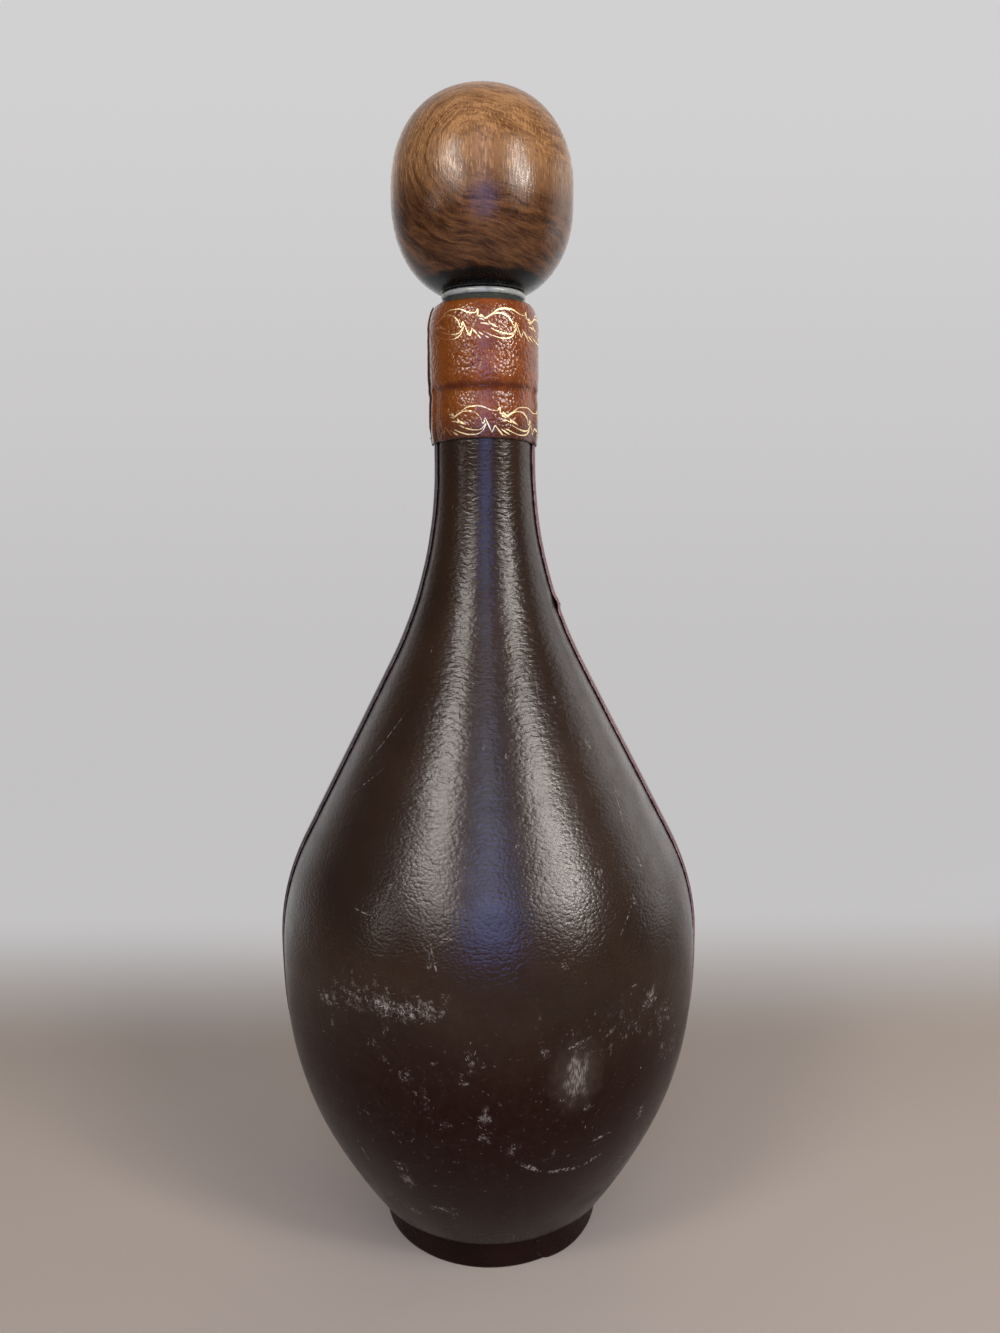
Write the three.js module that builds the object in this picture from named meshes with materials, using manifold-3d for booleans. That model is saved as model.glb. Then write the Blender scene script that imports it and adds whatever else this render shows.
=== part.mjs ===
// A leather-wrapped glass decanter with a wooden ball stopper.
// Millimetres, +Z up. The origin is the centre of the underside and the front faces -Y.
// Angles round the bottle are in degrees from the front, growing towards +X.
import * as THREE from "three";
import { mergeVertices } from "three/addons/utils/BufferGeometryUtils.js";
import Module from "manifold-3d";

const wasm = await Module();
wasm.setup();

// Clearances
const GLUE_LINE = 0.2;
const SEAT_GAP = 0.2;
const BORE_GAP = 0.2;

// Glass bottle, from the foot up
const GLASS_WALL = 3.0;
const FOOT_RADIUS = 31.0;
const FOOT_CHAMFER = 1.5;
const STANDING_RING = 5.5;
const PUNT_RISE = 5.0;
const HEEL_OVERHANG = 4.2;
const HEEL_RISE = 1.5;
const HEEL_FLARE = 33.5;
const HEEL_FULLNESS = 43.0;
const BELLY_RADIUS = 59.1;
const BELLY_RISE = 75.9;
const BELLY_FULLNESS = 21.3;
const SHOULDER_ARC = 66.5;
const SHOULDER_SLOPE = 27.15;
const NECK_ARC = 123.0;
const NECK_RADIUS = 12.3;
const NECK_LENGTH = 20.0;
const BEAD_PROUD = 1.75;
const BEAD_CHAMFER = 1.0;
const BEAD_HEIGHT = 16.3;
const LIP_INSET = 2.65;
const LIP_HEIGHT = 6.7;
const LIP_FULLNESS = 1.4;

// Leather cover
const PANEL_LEATHER = 0.7;
const PANEL_REACH = 90;
const LAP_AT_BELLY = 6;
const LAP_AT_NECK = 15;
const PANEL_STOP = 4.4;
const COLLAR_LEATHER = 0.7;
const COLLAR_DROP = 14.3;
const COLLAR_FOLD = 5.0;
const COLLAR_SAG = 0.8;
const COLLAR_START = -105;
const COLLAR_LAP = 22.5;
const BAND_LEATHER = 0.8;
const BAND_HEIGHT = 9.3;
const BAND_START = 22.5;
const BAND_LAP = 3;
const BASE_LEATHER = 1.2;

// Stopper
const RING_SEAT = 2.2;
const RING_THICKNESS = 1.7;
const RING_EDGE = 0.5;
const BALL_RADIUS = 24.65;
const BALL_HALF_HEIGHT = 26.95;
const BALL_FULLNESS = 2.3;
const BALL_OVERHANG = 0.4;
const BALL_FLAT_DEPTH = 0.45;
const DOWEL_RADIUS = 4.0;
const DOWEL_IN_BALL = 16.0;
const DOWEL_IN_CORK = 15.0;
const CORK_LENGTH = 24.0;
const CORK_TAPER = 0.7;

// Steps round the axis and along the curves
const SEGMENTS = 48;
const STEP = 360 / SEGMENTS;
const PUNT_STEPS = 3;
const BELLY_STEPS = 6;
const SHOULDER_STEPS = 4;
const THROAT_STEPS = 5;
const LIP_STEPS = 5;
const FOLD_STEPS = 3;
const BALL_STEPS = 12;

// Angles past an underlayer's edge where a sheet that laps over it starts and ends its way down
const LAP_CLEAR = STEP / 3;
const LAP_RAMP = STEP;

// Heights and radii that follow from the sizes above
const glassSeat = BASE_LEATHER + GLUE_LINE;
const puntRadius = FOOT_RADIUS - FOOT_CHAMFER - STANDING_RING;
const footTop = BAND_HEIGHT + SEAT_GAP;
const heelRadius = FOOT_RADIUS + HEEL_OVERHANG;
const heelHeight = footTop + HEEL_RISE;
const bellyHeight = heelHeight + BELLY_RISE;
const slope = THREE.MathUtils.degToRad(SHOULDER_SLOPE);
const shoulderRadius = BELLY_RADIUS - SHOULDER_ARC * (1 - Math.cos(slope));
const throatRadius = NECK_RADIUS + NECK_ARC * (1 - Math.cos(slope));
const coneHeight = (shoulderRadius - throatRadius) / Math.tan(slope);
const neckStart = bellyHeight + (SHOULDER_ARC + NECK_ARC) * Math.sin(slope) + coneHeight;
const beadBottom = neckStart + NECK_LENGTH;
const beadTop = beadBottom + BEAD_HEIGHT;
const beadRadius = NECK_RADIUS + BEAD_PROUD;
const lipRadius = beadRadius - LIP_INSET;
const lipTop = beadTop + LIP_HEIGHT;
const boreRadius = NECK_RADIUS - GLASS_WALL;
const panelTop = beadBottom - PANEL_STOP;
const lapOffset = GLUE_LINE + PANEL_LEATHER + GLUE_LINE;
const lapRadius = NECK_RADIUS + lapOffset + PANEL_LEATHER;

const point = (radius, height) => new THREE.Vector2(radius, height);
const steps = (count) => Array.from({ length: count + 1 }, (_, index) => index / count);

// Points along an ellipse about a centre, between two angles in radians.
function ellipseArc(center, radii, from, to, count) {
  return steps(count).map((t) => {
    const angle = THREE.MathUtils.lerp(from, to, t);
    return point(center.x + radii.x * Math.cos(angle), center.y + radii.y * Math.sin(angle));
  });
}

function circleArc(center, radius, from, to, count) {
  return ellipseArc(center, point(radius, radius), from, to, count);
}

// A line parallel to an outline that runs upwards, moved away from the axis by a distance.
function offsetOutline(outline, distance) {
  return outline.map((here, index) => {
    const before = outline[Math.max(index - 1, 0)];
    const after = outline[Math.min(index + 1, outline.length - 1)];
    const incoming = (index > 0 ? here.clone().sub(before) : after.clone().sub(here)).normalize();
    const outgoing = (after !== here ? after.clone().sub(here) : here.clone().sub(before)).normalize();
    const along = incoming.clone().add(outgoing).normalize();
    const stretch = distance / along.dot(incoming);
    return point(here.x + along.y * stretch, here.y - along.x * stretch);
  });
}

// The outside of the glass from the heel to the top of the curve into the neck.
function bodyOutline() {
  const flare = THREE.MathUtils.degToRad(HEEL_FLARE);
  const heel = point(heelRadius, heelHeight);
  const belly = point(BELLY_RADIUS, bellyHeight);
  const lower = new THREE.CubicBezierCurve(
    heel,
    point(heel.x + HEEL_FULLNESS * Math.sin(flare), heel.y + HEEL_FULLNESS * Math.cos(flare)),
    point(belly.x, belly.y - BELLY_FULLNESS),
    belly,
  ).getPoints(BELLY_STEPS);
  const shoulderCenter = point(belly.x - SHOULDER_ARC, belly.y);
  const shoulder = circleArc(shoulderCenter, SHOULDER_ARC, 0, slope, SHOULDER_STEPS);
  const throatCenter = point(NECK_RADIUS + NECK_ARC, neckStart);
  const throat = circleArc(throatCenter, NECK_ARC, Math.PI + slope, Math.PI, THROAT_STEPS);
  return [...lower, ...shoulder.slice(1), ...throat];
}

// Turns a point of the unit circle into one of a rounder or flatter curve of the same width and height.
function reshaped({ x, y }, fullness) {
  const bulge = (value) => Math.sign(value) * Math.abs(value) ** (2 / fullness);
  return point(bulge(x), bulge(y));
}

// The bevelled lip, from the top of the bead inwards as far as a height above it.
function lipCurve(height, count) {
  const end = Math.asin(Math.min(height / LIP_HEIGHT, 1) ** (LIP_FULLNESS / 2));
  return ellipseArc(point(0, 0), point(1, 1), 0, end, count).map((place) => {
    const { x, y } = reshaped(place, LIP_FULLNESS);
    return point(lipRadius + LIP_INSET * x, beadTop + LIP_HEIGHT * y);
  });
}

// The curve of the punt under the base, from the axis out to its rim.
function puntCurve(rimHeight) {
  return ellipseArc(point(0, rimHeight), point(puntRadius, PUNT_RISE), Math.PI / 2, 0, PUNT_STEPS);
}

// The profile of a plain round bar between two heights.
function plug(radius, bottom, top) {
  return [point(0, bottom), point(radius, bottom), point(radius, top), point(0, top)];
}

// A turned piece about +Z, from a profile that runs from the axis up the outside and back.
function turned(profile) {
  return new THREE.LatheGeometry(profile, SEGMENTS).rotateX(Math.PI / 2);
}

// A sheet of leather wrapped round an outline. Each column has an angle for each row and
// a distance by which the sheet stands off the outline there.
function wrapped(outline, thickness, columns) {
  const rows = outline.length;
  const positions = [];
  const skins = [0, thickness].map((depth) => {
    const first = positions.length / 3;
    columns.forEach((column) => {
      offsetOutline(outline, column.standOff + depth).forEach((place, row) => {
        const angle = THREE.MathUtils.degToRad(column.angleAt(row));
        const height = column.heightAt ? column.heightAt(place.y) : place.y;
        positions.push(place.x * Math.sin(angle), -place.x * Math.cos(angle), height);
      });
    });
    return (column, row) => first + column * rows + row;
  });
  const [inside, outside] = skins;
  const triangles = [];
  const quad = (a, b, c, d) => triangles.push(a, b, c, a, c, d);
  const end = columns.length - 1;
  const top = rows - 1;
  for (let column = 0; column < end; column++) {
    const next = column + 1;
    for (let row = 0; row < top; row++) {
      quad(outside(column, row), outside(next, row), outside(next, row + 1), outside(column, row + 1));
      quad(inside(column, row), inside(column, row + 1), inside(next, row + 1), inside(next, row));
    }
    quad(inside(column, 0), inside(next, 0), outside(next, 0), outside(column, 0));
    quad(outside(column, top), outside(next, top), inside(next, top), inside(column, top));
  }
  for (let row = 0; row < top; row++) {
    quad(inside(0, row), outside(0, row), outside(0, row + 1), inside(0, row + 1));
    quad(outside(end, row), inside(end, row), inside(end, row + 1), outside(end, row + 1));
  }
  const geometry = new THREE.BufferGeometry();
  geometry.setAttribute("position", new THREE.Float32BufferAttribute(positions, 3));
  geometry.setIndex(triangles);
  return geometry;
}

// The two ends and every whole step between them that is clear of both.
function anglesBetween(from, to) {
  const clear = STEP / 10;
  const whole = Array.from({ length: 2 * SEGMENTS }, (_, index) => (index - SEGMENTS / 2) * STEP);
  return [from, ...whole.filter((angle) => angle > from + clear && angle < to - clear), to];
}

const fixedColumn = (angle, standOff) => ({ angleAt: () => angle, standOff });

function solidOf(geometry) {
  const bare = geometry.clone();
  bare.deleteAttribute("normal");
  bare.deleteAttribute("uv");
  const merged = mergeVertices(bare);
  return new wasm.Manifold(new wasm.Mesh({
    numProp: 3,
    vertProperties: new Float32Array(merged.attributes.position.array),
    triVerts: new Uint32Array(merged.index.array),
  }));
}

function cutAway(geometry, cutter) {
  const mesh = solidOf(geometry).subtract(solidOf(cutter)).getMesh();
  const result = new THREE.BufferGeometry();
  result.setAttribute("position", new THREE.Float32BufferAttribute(mesh.vertProperties, 3));
  result.setIndex(Array.from(mesh.triVerts));
  return result;
}

// The hollow bottle: outside from the punt to the lip, then back down the inside.
function glassBottle() {
  const body = bodyOutline();
  const floorHeight = glassSeat + GLASS_WALL;
  const outside = [
    ...puntCurve(glassSeat),
    point(FOOT_RADIUS - FOOT_CHAMFER, glassSeat),
    point(FOOT_RADIUS, glassSeat + FOOT_CHAMFER),
    point(FOOT_RADIUS, footTop),
    ...body,
    point(NECK_RADIUS, beadBottom),
    point(beadRadius, beadBottom + BEAD_CHAMFER),
    ...lipCurve(LIP_HEIGHT, LIP_STEPS),
  ];
  const inside = [
    ...puntCurve(floorHeight),
    point(FOOT_RADIUS - GLASS_WALL, footTop),
    ...offsetOutline(body, -GLASS_WALL),
    point(boreRadius, lipTop),
  ];
  return turned([...outside, ...inside.reverse()]);
}

// The part of the outline that the two body panels cover.
const panelOutline = () => [...bodyOutline(), point(NECK_RADIUS, panelTop)];

function frontPanel() {
  const angles = anglesBetween(-PANEL_REACH, PANEL_REACH);
  return wrapped(panelOutline(), PANEL_LEATHER, angles.map((angle) => fixedColumn(angle, GLUE_LINE)));
}

// The rear panel lies on the glass and climbs over the front panel at both sides.
function rearPanel() {
  const outline = panelOutline();
  const seamAt = (row) => PANEL_REACH - THREE.MathUtils.mapLinear(
    THREE.MathUtils.clamp(outline[row].y, bellyHeight, panelTop),
    bellyHeight, panelTop, LAP_AT_BELLY, LAP_AT_NECK,
  );
  const rampTop = PANEL_REACH + LAP_CLEAR;
  const rampFoot = PANEL_REACH + LAP_RAMP;
  const right = [
    { angleAt: seamAt, standOff: lapOffset },
    { angleAt: (row) => (seamAt(row) + rampTop) / 2, standOff: lapOffset },
    fixedColumn(rampTop, lapOffset),
  ];
  const left = right.map(({ angleAt, standOff }) => ({ angleAt: (row) => 360 - angleAt(row), standOff }));
  const back = anglesBetween(rampFoot, 360 - rampFoot).map((angle) => fixedColumn(angle, GLUE_LINE));
  return wrapped(outline, PANEL_LEATHER, [...right, ...back, ...left.reverse()]);
}

// The collar covers the tops of the panels and the bead, and laps over its own start.
function neckCollar() {
  const beadEdge = beadBottom + BEAD_CHAMFER;
  const outline = [
    point(lapRadius, beadBottom - COLLAR_DROP),
    point(lapRadius, panelTop),
    point(lapRadius - COLLAR_SAG, (panelTop + beadEdge) / 2),
    point(beadRadius, beadEdge),
    ...lipCurve(COLLAR_FOLD, FOLD_STEPS),
  ];
  const lapStart = COLLAR_START + 360;
  const rampTop = lapStart - LAP_CLEAR;
  const rampFoot = lapStart - LAP_RAMP;
  const lifted = GLUE_LINE + COLLAR_LEATHER + GLUE_LINE;
  return wrapped(outline, COLLAR_LEATHER, [
    ...anglesBetween(COLLAR_START, rampFoot).map((angle) => fixedColumn(angle, GLUE_LINE)),
    ...anglesBetween(rampTop, lapStart + COLLAR_LAP).map((angle) => fixedColumn(angle, lifted)),
  ]);
}

// The foot band starts with a rounded outer end and runs round until it is under that end.
function footBand() {
  const outline = steps(3).map((share) => point(FOOT_RADIUS, BAND_HEIGHT * share));
  const middle = BAND_HEIGHT / 2;
  const roundAngle = THREE.MathUtils.radToDeg(middle / FOOT_RADIUS);
  const underEnd = BAND_START + roundAngle + BAND_LAP;
  const rampTop = underEnd + LAP_CLEAR;
  const rampFoot = underEnd + LAP_RAMP;
  const lifted = GLUE_LINE + BAND_LEATHER + GLUE_LINE;
  const roundEnd = [0.05, 0.2, 0.5].map((share) => {
    const narrowing = Math.sqrt(1 - (1 - share) ** 2);
    return {
      angleAt: () => BAND_START + roundAngle * share,
      heightAt: (height) => middle + (height - middle) * narrowing,
      standOff: lifted,
    };
  });
  return wrapped(outline, BAND_LEATHER, [
    ...roundEnd,
    ...anglesBetween(BAND_START + roundAngle, rampTop).map((angle) => fixedColumn(angle, lifted)),
    ...anglesBetween(rampFoot, 360 + underEnd).map((angle) => fixedColumn(angle, GLUE_LINE)),
  ]);
}

function baseDisc() {
  return turned(plug(FOOT_RADIUS, 0, BASE_LEATHER));
}

// The stopper's pieces are measured from the top of the lip.
const ringBottom = SEAT_GAP;
const ringTop = ringBottom + RING_THICKNESS;
const ballSeat = ringTop + SEAT_GAP;
const ringRadius = boreRadius + RING_SEAT;
const ballSeatRadius = ringRadius + BALL_OVERHANG;
const ballSeatShare = (1 - (ballSeatRadius / BALL_RADIUS) ** BALL_FULLNESS) ** (1 / BALL_FULLNESS);
const ballCenter = ballSeat + BALL_HALF_HEIGHT * ballSeatShare;
const holeRadius = DOWEL_RADIUS + BORE_GAP;

function stopperRing() {
  return turned([
    point(holeRadius, ringBottom),
    point(ringRadius - RING_EDGE, ringBottom),
    point(ringRadius, ringBottom + RING_EDGE),
    point(ringRadius, ringTop - RING_EDGE),
    point(ringRadius - RING_EDGE, ringTop),
    point(holeRadius, ringTop),
    point(holeRadius, ringBottom),
  ]);
}

// The ball's outline from its seat to its top, a little squarer than an ellipse.
function ballSkin() {
  const seatAngle = -Math.acos((ballSeatRadius / BALL_RADIUS) ** (BALL_FULLNESS / 2));
  const skin = ellipseArc(point(0, 0), point(1, 1), seatAngle, Math.PI / 2, BALL_STEPS).map((place) => {
    const { x, y } = reshaped(place, BALL_FULLNESS);
    return point(BALL_RADIUS * x, ballCenter + BALL_HALF_HEIGHT * y);
  });
  skin[0].set(ballSeatRadius, ballSeat);
  skin[BALL_STEPS].set(0, ballCenter + BALL_HALF_HEIGHT);
  return skin;
}

// The ball is taller than wide, cut flat at its seat and on its right side.
function stopperBall() {
  const holeTop = ballSeat + DOWEL_IN_BALL + BORE_GAP;
  const skin = ballSkin();
  const ball = turned([point(0, holeTop), point(holeRadius, holeTop), point(holeRadius, ballSeat), ...skin]);
  const flat = new THREE.BoxGeometry(BALL_RADIUS, BALL_RADIUS * 2, BALL_HALF_HEIGHT * 2);
  flat.translate(BALL_RADIUS * 1.5 - BALL_FLAT_DEPTH, 0, ballCenter);
  return cutAway(ball, flat);
}

function stopperDowel() {
  return turned(plug(DOWEL_RADIUS, -DOWEL_IN_CORK, ballSeat + DOWEL_IN_BALL));
}

function corkPlug() {
  const radius = boreRadius - BORE_GAP;
  const holeBottom = -DOWEL_IN_CORK - BORE_GAP;
  return turned([
    point(0, -CORK_LENGTH),
    point(radius - CORK_TAPER, -CORK_LENGTH),
    point(radius, 0),
    point(holeRadius, 0),
    point(holeRadius, holeBottom),
    point(0, holeBottom),
  ]);
}

const finish = (color, roughness, metalness = 0) =>
  new THREE.MeshStandardMaterial({ color, roughness, metalness });

const darkLeather = finish(0x241613, 0.4);
const redLeather = finish(0x4a2420, 0.5);
const cognacLeather = finish(0x83441c, 0.4);
const greenGlass = finish(0x3c463c, 0.1);
const greyPlastic = finish(0xa9aaa2, 0.35);
const brownWood = finish(0x6b3e1d, 0.3);
const paleWood = finish(0xb48a58, 0.6);
const cork = finish(0xa9794b, 0.9);

function addPiece(group, name, geometry, material) {
  const mesh = new THREE.Mesh(geometry, material);
  mesh.name = name;
  group.add(mesh);
}

const decanter = new THREE.Group();
const bottle = new THREE.Group();
const stopper = new THREE.Group();
decanter.add(bottle, stopper);
stopper.position.z = lipTop;

addPiece(bottle, "glass_bottle", glassBottle(), greenGlass);
addPiece(bottle, "front_panel", frontPanel(), darkLeather);
addPiece(bottle, "rear_panel", rearPanel(), redLeather);
addPiece(bottle, "neck_collar", neckCollar(), cognacLeather);
addPiece(bottle, "foot_band", footBand(), darkLeather);
addPiece(bottle, "base_disc", baseDisc(), darkLeather);
addPiece(stopper, "stopper_ring", stopperRing(), greyPlastic);
addPiece(stopper, "stopper_ball", stopperBall(), brownWood);
addPiece(stopper, "stopper_dowel", stopperDowel(), paleWood);
addPiece(stopper, "cork_plug", corkPlug(), cork);

export default decanter;
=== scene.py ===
# The looks of a leather-wrapped glass decanter with a wooden ball stopper.
# Sizes are in millimetres and angles in degrees. Meshes are made in metres, +Z up.
# Angles round the bottle count from the front, -Y, and grow towards +X.
import functools
import math
import random

import bmesh
import bpy
import numpy as np
from mathutils import Matrix, Vector, noise


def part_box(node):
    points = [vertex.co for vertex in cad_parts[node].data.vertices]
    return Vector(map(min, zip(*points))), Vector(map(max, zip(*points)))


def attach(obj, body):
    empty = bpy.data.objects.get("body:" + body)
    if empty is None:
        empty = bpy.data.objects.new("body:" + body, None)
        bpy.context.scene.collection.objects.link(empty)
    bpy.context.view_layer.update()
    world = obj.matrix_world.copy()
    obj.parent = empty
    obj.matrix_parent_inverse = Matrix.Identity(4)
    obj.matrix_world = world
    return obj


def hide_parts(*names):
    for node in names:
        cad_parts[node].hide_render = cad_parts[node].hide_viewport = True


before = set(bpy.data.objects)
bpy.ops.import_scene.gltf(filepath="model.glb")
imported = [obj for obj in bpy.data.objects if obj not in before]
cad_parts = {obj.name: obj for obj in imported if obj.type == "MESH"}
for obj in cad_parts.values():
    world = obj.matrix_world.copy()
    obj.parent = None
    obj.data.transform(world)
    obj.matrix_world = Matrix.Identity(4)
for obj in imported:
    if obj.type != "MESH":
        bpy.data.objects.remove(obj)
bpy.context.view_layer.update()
scene = bpy.context.scene

MM = 0.001


def node_box(node):
    """The lowest and highest corner of a solid, in millimetres."""
    low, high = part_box(node)
    return np.array(low) / MM, np.array(high) / MM


# Glass outline, with the same values as the solids
GLASS_WALL = 3.0
FOOT_RADIUS = 31.0
FOOT_CHAMFER = 1.5
STANDING_RING = 5.5
PUNT_RISE = 5.0
HEEL_OVERHANG = 4.2
HEEL_RISE = 1.5
HEEL_FLARE = 33.5
HEEL_FULLNESS = 43.0
BELLY_RADIUS = 59.1
BELLY_RISE = 75.9
BELLY_FULLNESS = 21.3
SHOULDER_ARC = 66.5
SHOULDER_SLOPE = 27.15
NECK_ARC = 123.0
NECK_RADIUS = 12.3
NECK_LENGTH = 20.0
BEAD_PROUD = 1.75
BEAD_CHAMFER = 1.0
BEAD_HEIGHT = 16.3
LIP_INSET = 2.65
LIP_HEIGHT = 6.7
LIP_FULLNESS = 1.4

# Leather cover, with the same values as the solids
GLUE_LINE = 0.2
SEAT_GAP = 0.2
PANEL_LEATHER = 0.7
PANEL_REACH = 90.0
LAP_AT_BELLY = 6.0
LAP_AT_NECK = 15.0
LAP_CLEAR = 2.5
LAP_RAMP = 7.5
COLLAR_LEATHER = 0.7
COLLAR_FOLD = 5.0
COLLAR_START = -105.0
COLLAR_LAP = 22.5
BAND_LEATHER = 0.8
BAND_START = 22.5
BAND_LAP = 3.0

# Stopper, with the same values as the solids
BALL_FULLNESS = 2.3
BALL_OVERHANG = 0.4
DOWEL_HOLE = 4.2
DOWEL_IN_BALL = 16.2
DOWEL_IN_CORK = 15.2

# Heights and radii that follow from the values above and from the solids' boxes
base_low, base_high = node_box("base_disc")
band_low, band_high = node_box("foot_band")
collar_low, collar_high = node_box("neck_collar")
ring_low, ring_high = node_box("stopper_ring")
ball_low, ball_high = node_box("stopper_ball")
cork_low, cork_high = node_box("cork_plug")
glass_seat = base_high[2] + GLUE_LINE
foot_top = band_high[2] + SEAT_GAP
heel_radius = FOOT_RADIUS + HEEL_OVERHANG
heel_height = foot_top + HEEL_RISE
belly_height = heel_height + BELLY_RISE
slope = math.radians(SHOULDER_SLOPE)
shoulder_radius = BELLY_RADIUS - SHOULDER_ARC * (1 - math.cos(slope))
throat_radius = NECK_RADIUS + NECK_ARC * (1 - math.cos(slope))
cone_height = (shoulder_radius - throat_radius) / math.tan(slope)
neck_start = belly_height + (SHOULDER_ARC + NECK_ARC) * math.sin(slope) + cone_height
bead_bottom = neck_start + NECK_LENGTH
bead_top = bead_bottom + BEAD_HEIGHT
bead_radius = NECK_RADIUS + BEAD_PROUD
lip_radius = bead_radius - LIP_INSET
lip_top = bead_top + LIP_HEIGHT
bore_radius = NECK_RADIUS - GLASS_WALL
punt_radius = FOOT_RADIUS - FOOT_CHAMFER - STANDING_RING
panel_top = node_box("front_panel")[1][2]
panel_lift = GLUE_LINE + PANEL_LEATHER + GLUE_LINE
ball_radius = ball_high[1]


# Curves in the plane of radius and height

def arc(center, radii, start, end, count):
    """Points along an ellipse between two angles."""
    turn = np.radians(np.linspace(start, end, count + 1))
    return np.stack([center[0] + radii[0] * np.cos(turn), center[1] + radii[1] * np.sin(turn)], axis=1)


def bezier(start, pull, push, end, count):
    """Points along a cubic curve."""
    t = np.linspace(0, 1, count + 1)[:, None]
    return (1 - t) ** 3 * start + 3 * t * (1 - t) ** 2 * pull + 3 * t ** 2 * (1 - t) * push + t ** 3 * end


def ease(value, low, high):
    """Rises from 0 at low to 1 at high without corners."""
    t = np.clip((np.asarray(value, float) - low) / (high - low), 0, 1)
    return t * t * (3 - 2 * t)


class Outline:
    """A line of (radius, height) points that runs upwards, measured along its length."""

    def __init__(self, points, spacing=0.5, softening=0):
        points = np.asarray(points, float)
        run = self.measure(points)
        even = np.linspace(0, run[-1], int(run[-1] / spacing) + 2)
        self.points = np.stack([np.interp(even, run, points[:, axis]) for axis in (0, 1)], axis=1)
        for _ in range(softening):
            middle = (self.points[:-2] + 2 * self.points[1:-1] + self.points[2:]) / 4
            self.points[1:-1] = middle
        self.run = self.measure(self.points)
        self.length = self.run[-1]
        along = np.gradient(self.points, self.run, axis=0)
        along /= np.linalg.norm(along, axis=1)[:, None]
        self.normals = np.stack([along[:, 1], -along[:, 0]], axis=1)

    @staticmethod
    def measure(points):
        steps = np.linalg.norm(np.diff(points, axis=0), axis=1)
        return np.concatenate([[0], np.cumsum(steps)])

    def at(self, run):
        """The places and outward directions at lengths along the line."""
        place = [np.interp(run, self.run, self.points[:, axis]) for axis in (0, 1)]
        normal = [np.interp(run, self.run, self.normals[:, axis]) for axis in (0, 1)]
        return place, normal

    def run_at(self, height):
        return np.interp(height, self.points[:, 1], self.run)

    def skin(self, runs, angles, stand_off):
        """Points round the axis at a distance off the line."""
        (radius, height), (outward, upward) = self.at(runs)
        turn = np.radians(angles)
        far = radius + outward * stand_off
        places = [far * np.sin(turn), -far * np.cos(turn), height + upward * stand_off]
        return np.stack(np.broadcast_arrays(*places), axis=-1)


def body_points():
    """The outside of the glass from the heel to the top of the curve into the neck."""
    flare = math.radians(HEEL_FLARE)
    heel = np.array([heel_radius, heel_height])
    belly = np.array([BELLY_RADIUS, belly_height])
    pull = heel + HEEL_FULLNESS * np.array([math.sin(flare), math.cos(flare)])
    lower = bezier(heel, pull, belly - np.array([0, BELLY_FULLNESS]), belly, 60)
    center = (BELLY_RADIUS - SHOULDER_ARC, belly_height)
    shoulder = arc(center, (SHOULDER_ARC, SHOULDER_ARC), 0, SHOULDER_SLOPE, 30)
    throat = arc((NECK_RADIUS + NECK_ARC, neck_start), (NECK_ARC, NECK_ARC), 180 + SHOULDER_SLOPE, 180, 40)
    return np.vstack([lower, shoulder[1:], throat])


def reshaped(points, fullness):
    """Turns points of the unit circle into ones of a rounder or flatter curve."""
    return np.sign(points) * np.abs(points) ** (2 / fullness)


def lip_points(height, count):
    """The bevelled lip from the top of the bead inwards, as far as a height above it."""
    end = math.degrees(math.asin(min(height / LIP_HEIGHT, 1) ** (LIP_FULLNESS / 2)))
    share = reshaped(arc((0, 0), (1, 1), 0, end, count), LIP_FULLNESS)
    return share * (LIP_INSET, LIP_HEIGHT) + (lip_radius, bead_top)


def crowded(length, spacing, reach=0.6):
    """Even steps along a length, with closer ones near both ends."""
    ends = reach * np.array([0, 0.2, 0.5])
    inner = np.linspace(reach, length - reach, max(int((length - 2 * reach) / spacing), 1) + 1)
    return np.concatenate([ends, inner, length - ends[::-1]])


def on_axis(values, axis):
    """Points at distances along one axis."""
    points = np.zeros((*np.shape(values), 3))
    points[..., axis] = values
    return points


def ripple(points, size, seed):
    """Smooth noise from -1 to 1 at points in millimetres, with lumps of about a size."""
    shift = Vector((seed * 17.3, seed * 5.1, seed * 9.7))
    flat = points.reshape(-1, 3) / size
    values = [noise.noise(Vector(place) + shift) for place in flat]
    return np.array(values).reshape(points.shape[:-1])


# Mesh builders

def mesh_from(name, points, faces, sharp=40):
    """A smooth-shaded mesh in metres from points in millimetres."""
    mesh = bpy.data.meshes.new(name)
    mesh.from_pydata((np.asarray(points) * MM).tolist(), [], faces)
    mesh.validate()
    mesh.shade_smooth()
    mesh.set_sharp_from_angle(angle=math.radians(sharp))
    return mesh


def grid_faces(index, flip=False):
    """Quads over a grid of vertex numbers."""
    corners = [index[:-1, :-1], index[1:, :-1], index[1:, 1:], index[:-1, 1:]]
    if flip:
        corners.reverse()
    return np.stack(corners, axis=-1).reshape(-1, 4).tolist()


def sheet_mesh(name, inside, outside, edge_distance):
    """A closed sheet between two grids of points, whose rim faces take the second material."""
    count = inside.shape[0] * inside.shape[1]
    under = np.arange(count).reshape(inside.shape[:2])
    over = under + count
    faces = grid_faces(over) + grid_faces(under, flip=True)
    rims = [
        np.stack([under[:, 0], over[:, 0]], axis=1),
        np.stack([over[:, -1], under[:, -1]], axis=1),
        np.stack([over[0], under[0]], axis=1),
        np.stack([under[-1], over[-1]], axis=1),
    ]
    skin_count = len(faces)
    for rim in rims:
        faces += grid_faces(rim)
    points = np.concatenate([inside.reshape(-1, 3), outside.reshape(-1, 3)])
    mesh = mesh_from(name, points, faces)
    is_rim = np.arange(len(faces)) >= skin_count
    mesh.polygons.foreach_set("material_index", is_rim.astype(np.int32))
    add_numbers(mesh, "edge", np.tile(edge_distance.reshape(-1), 2))
    add_numbers(mesh, "depth", np.repeat([0.0, 1.0], count))
    return mesh


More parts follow.
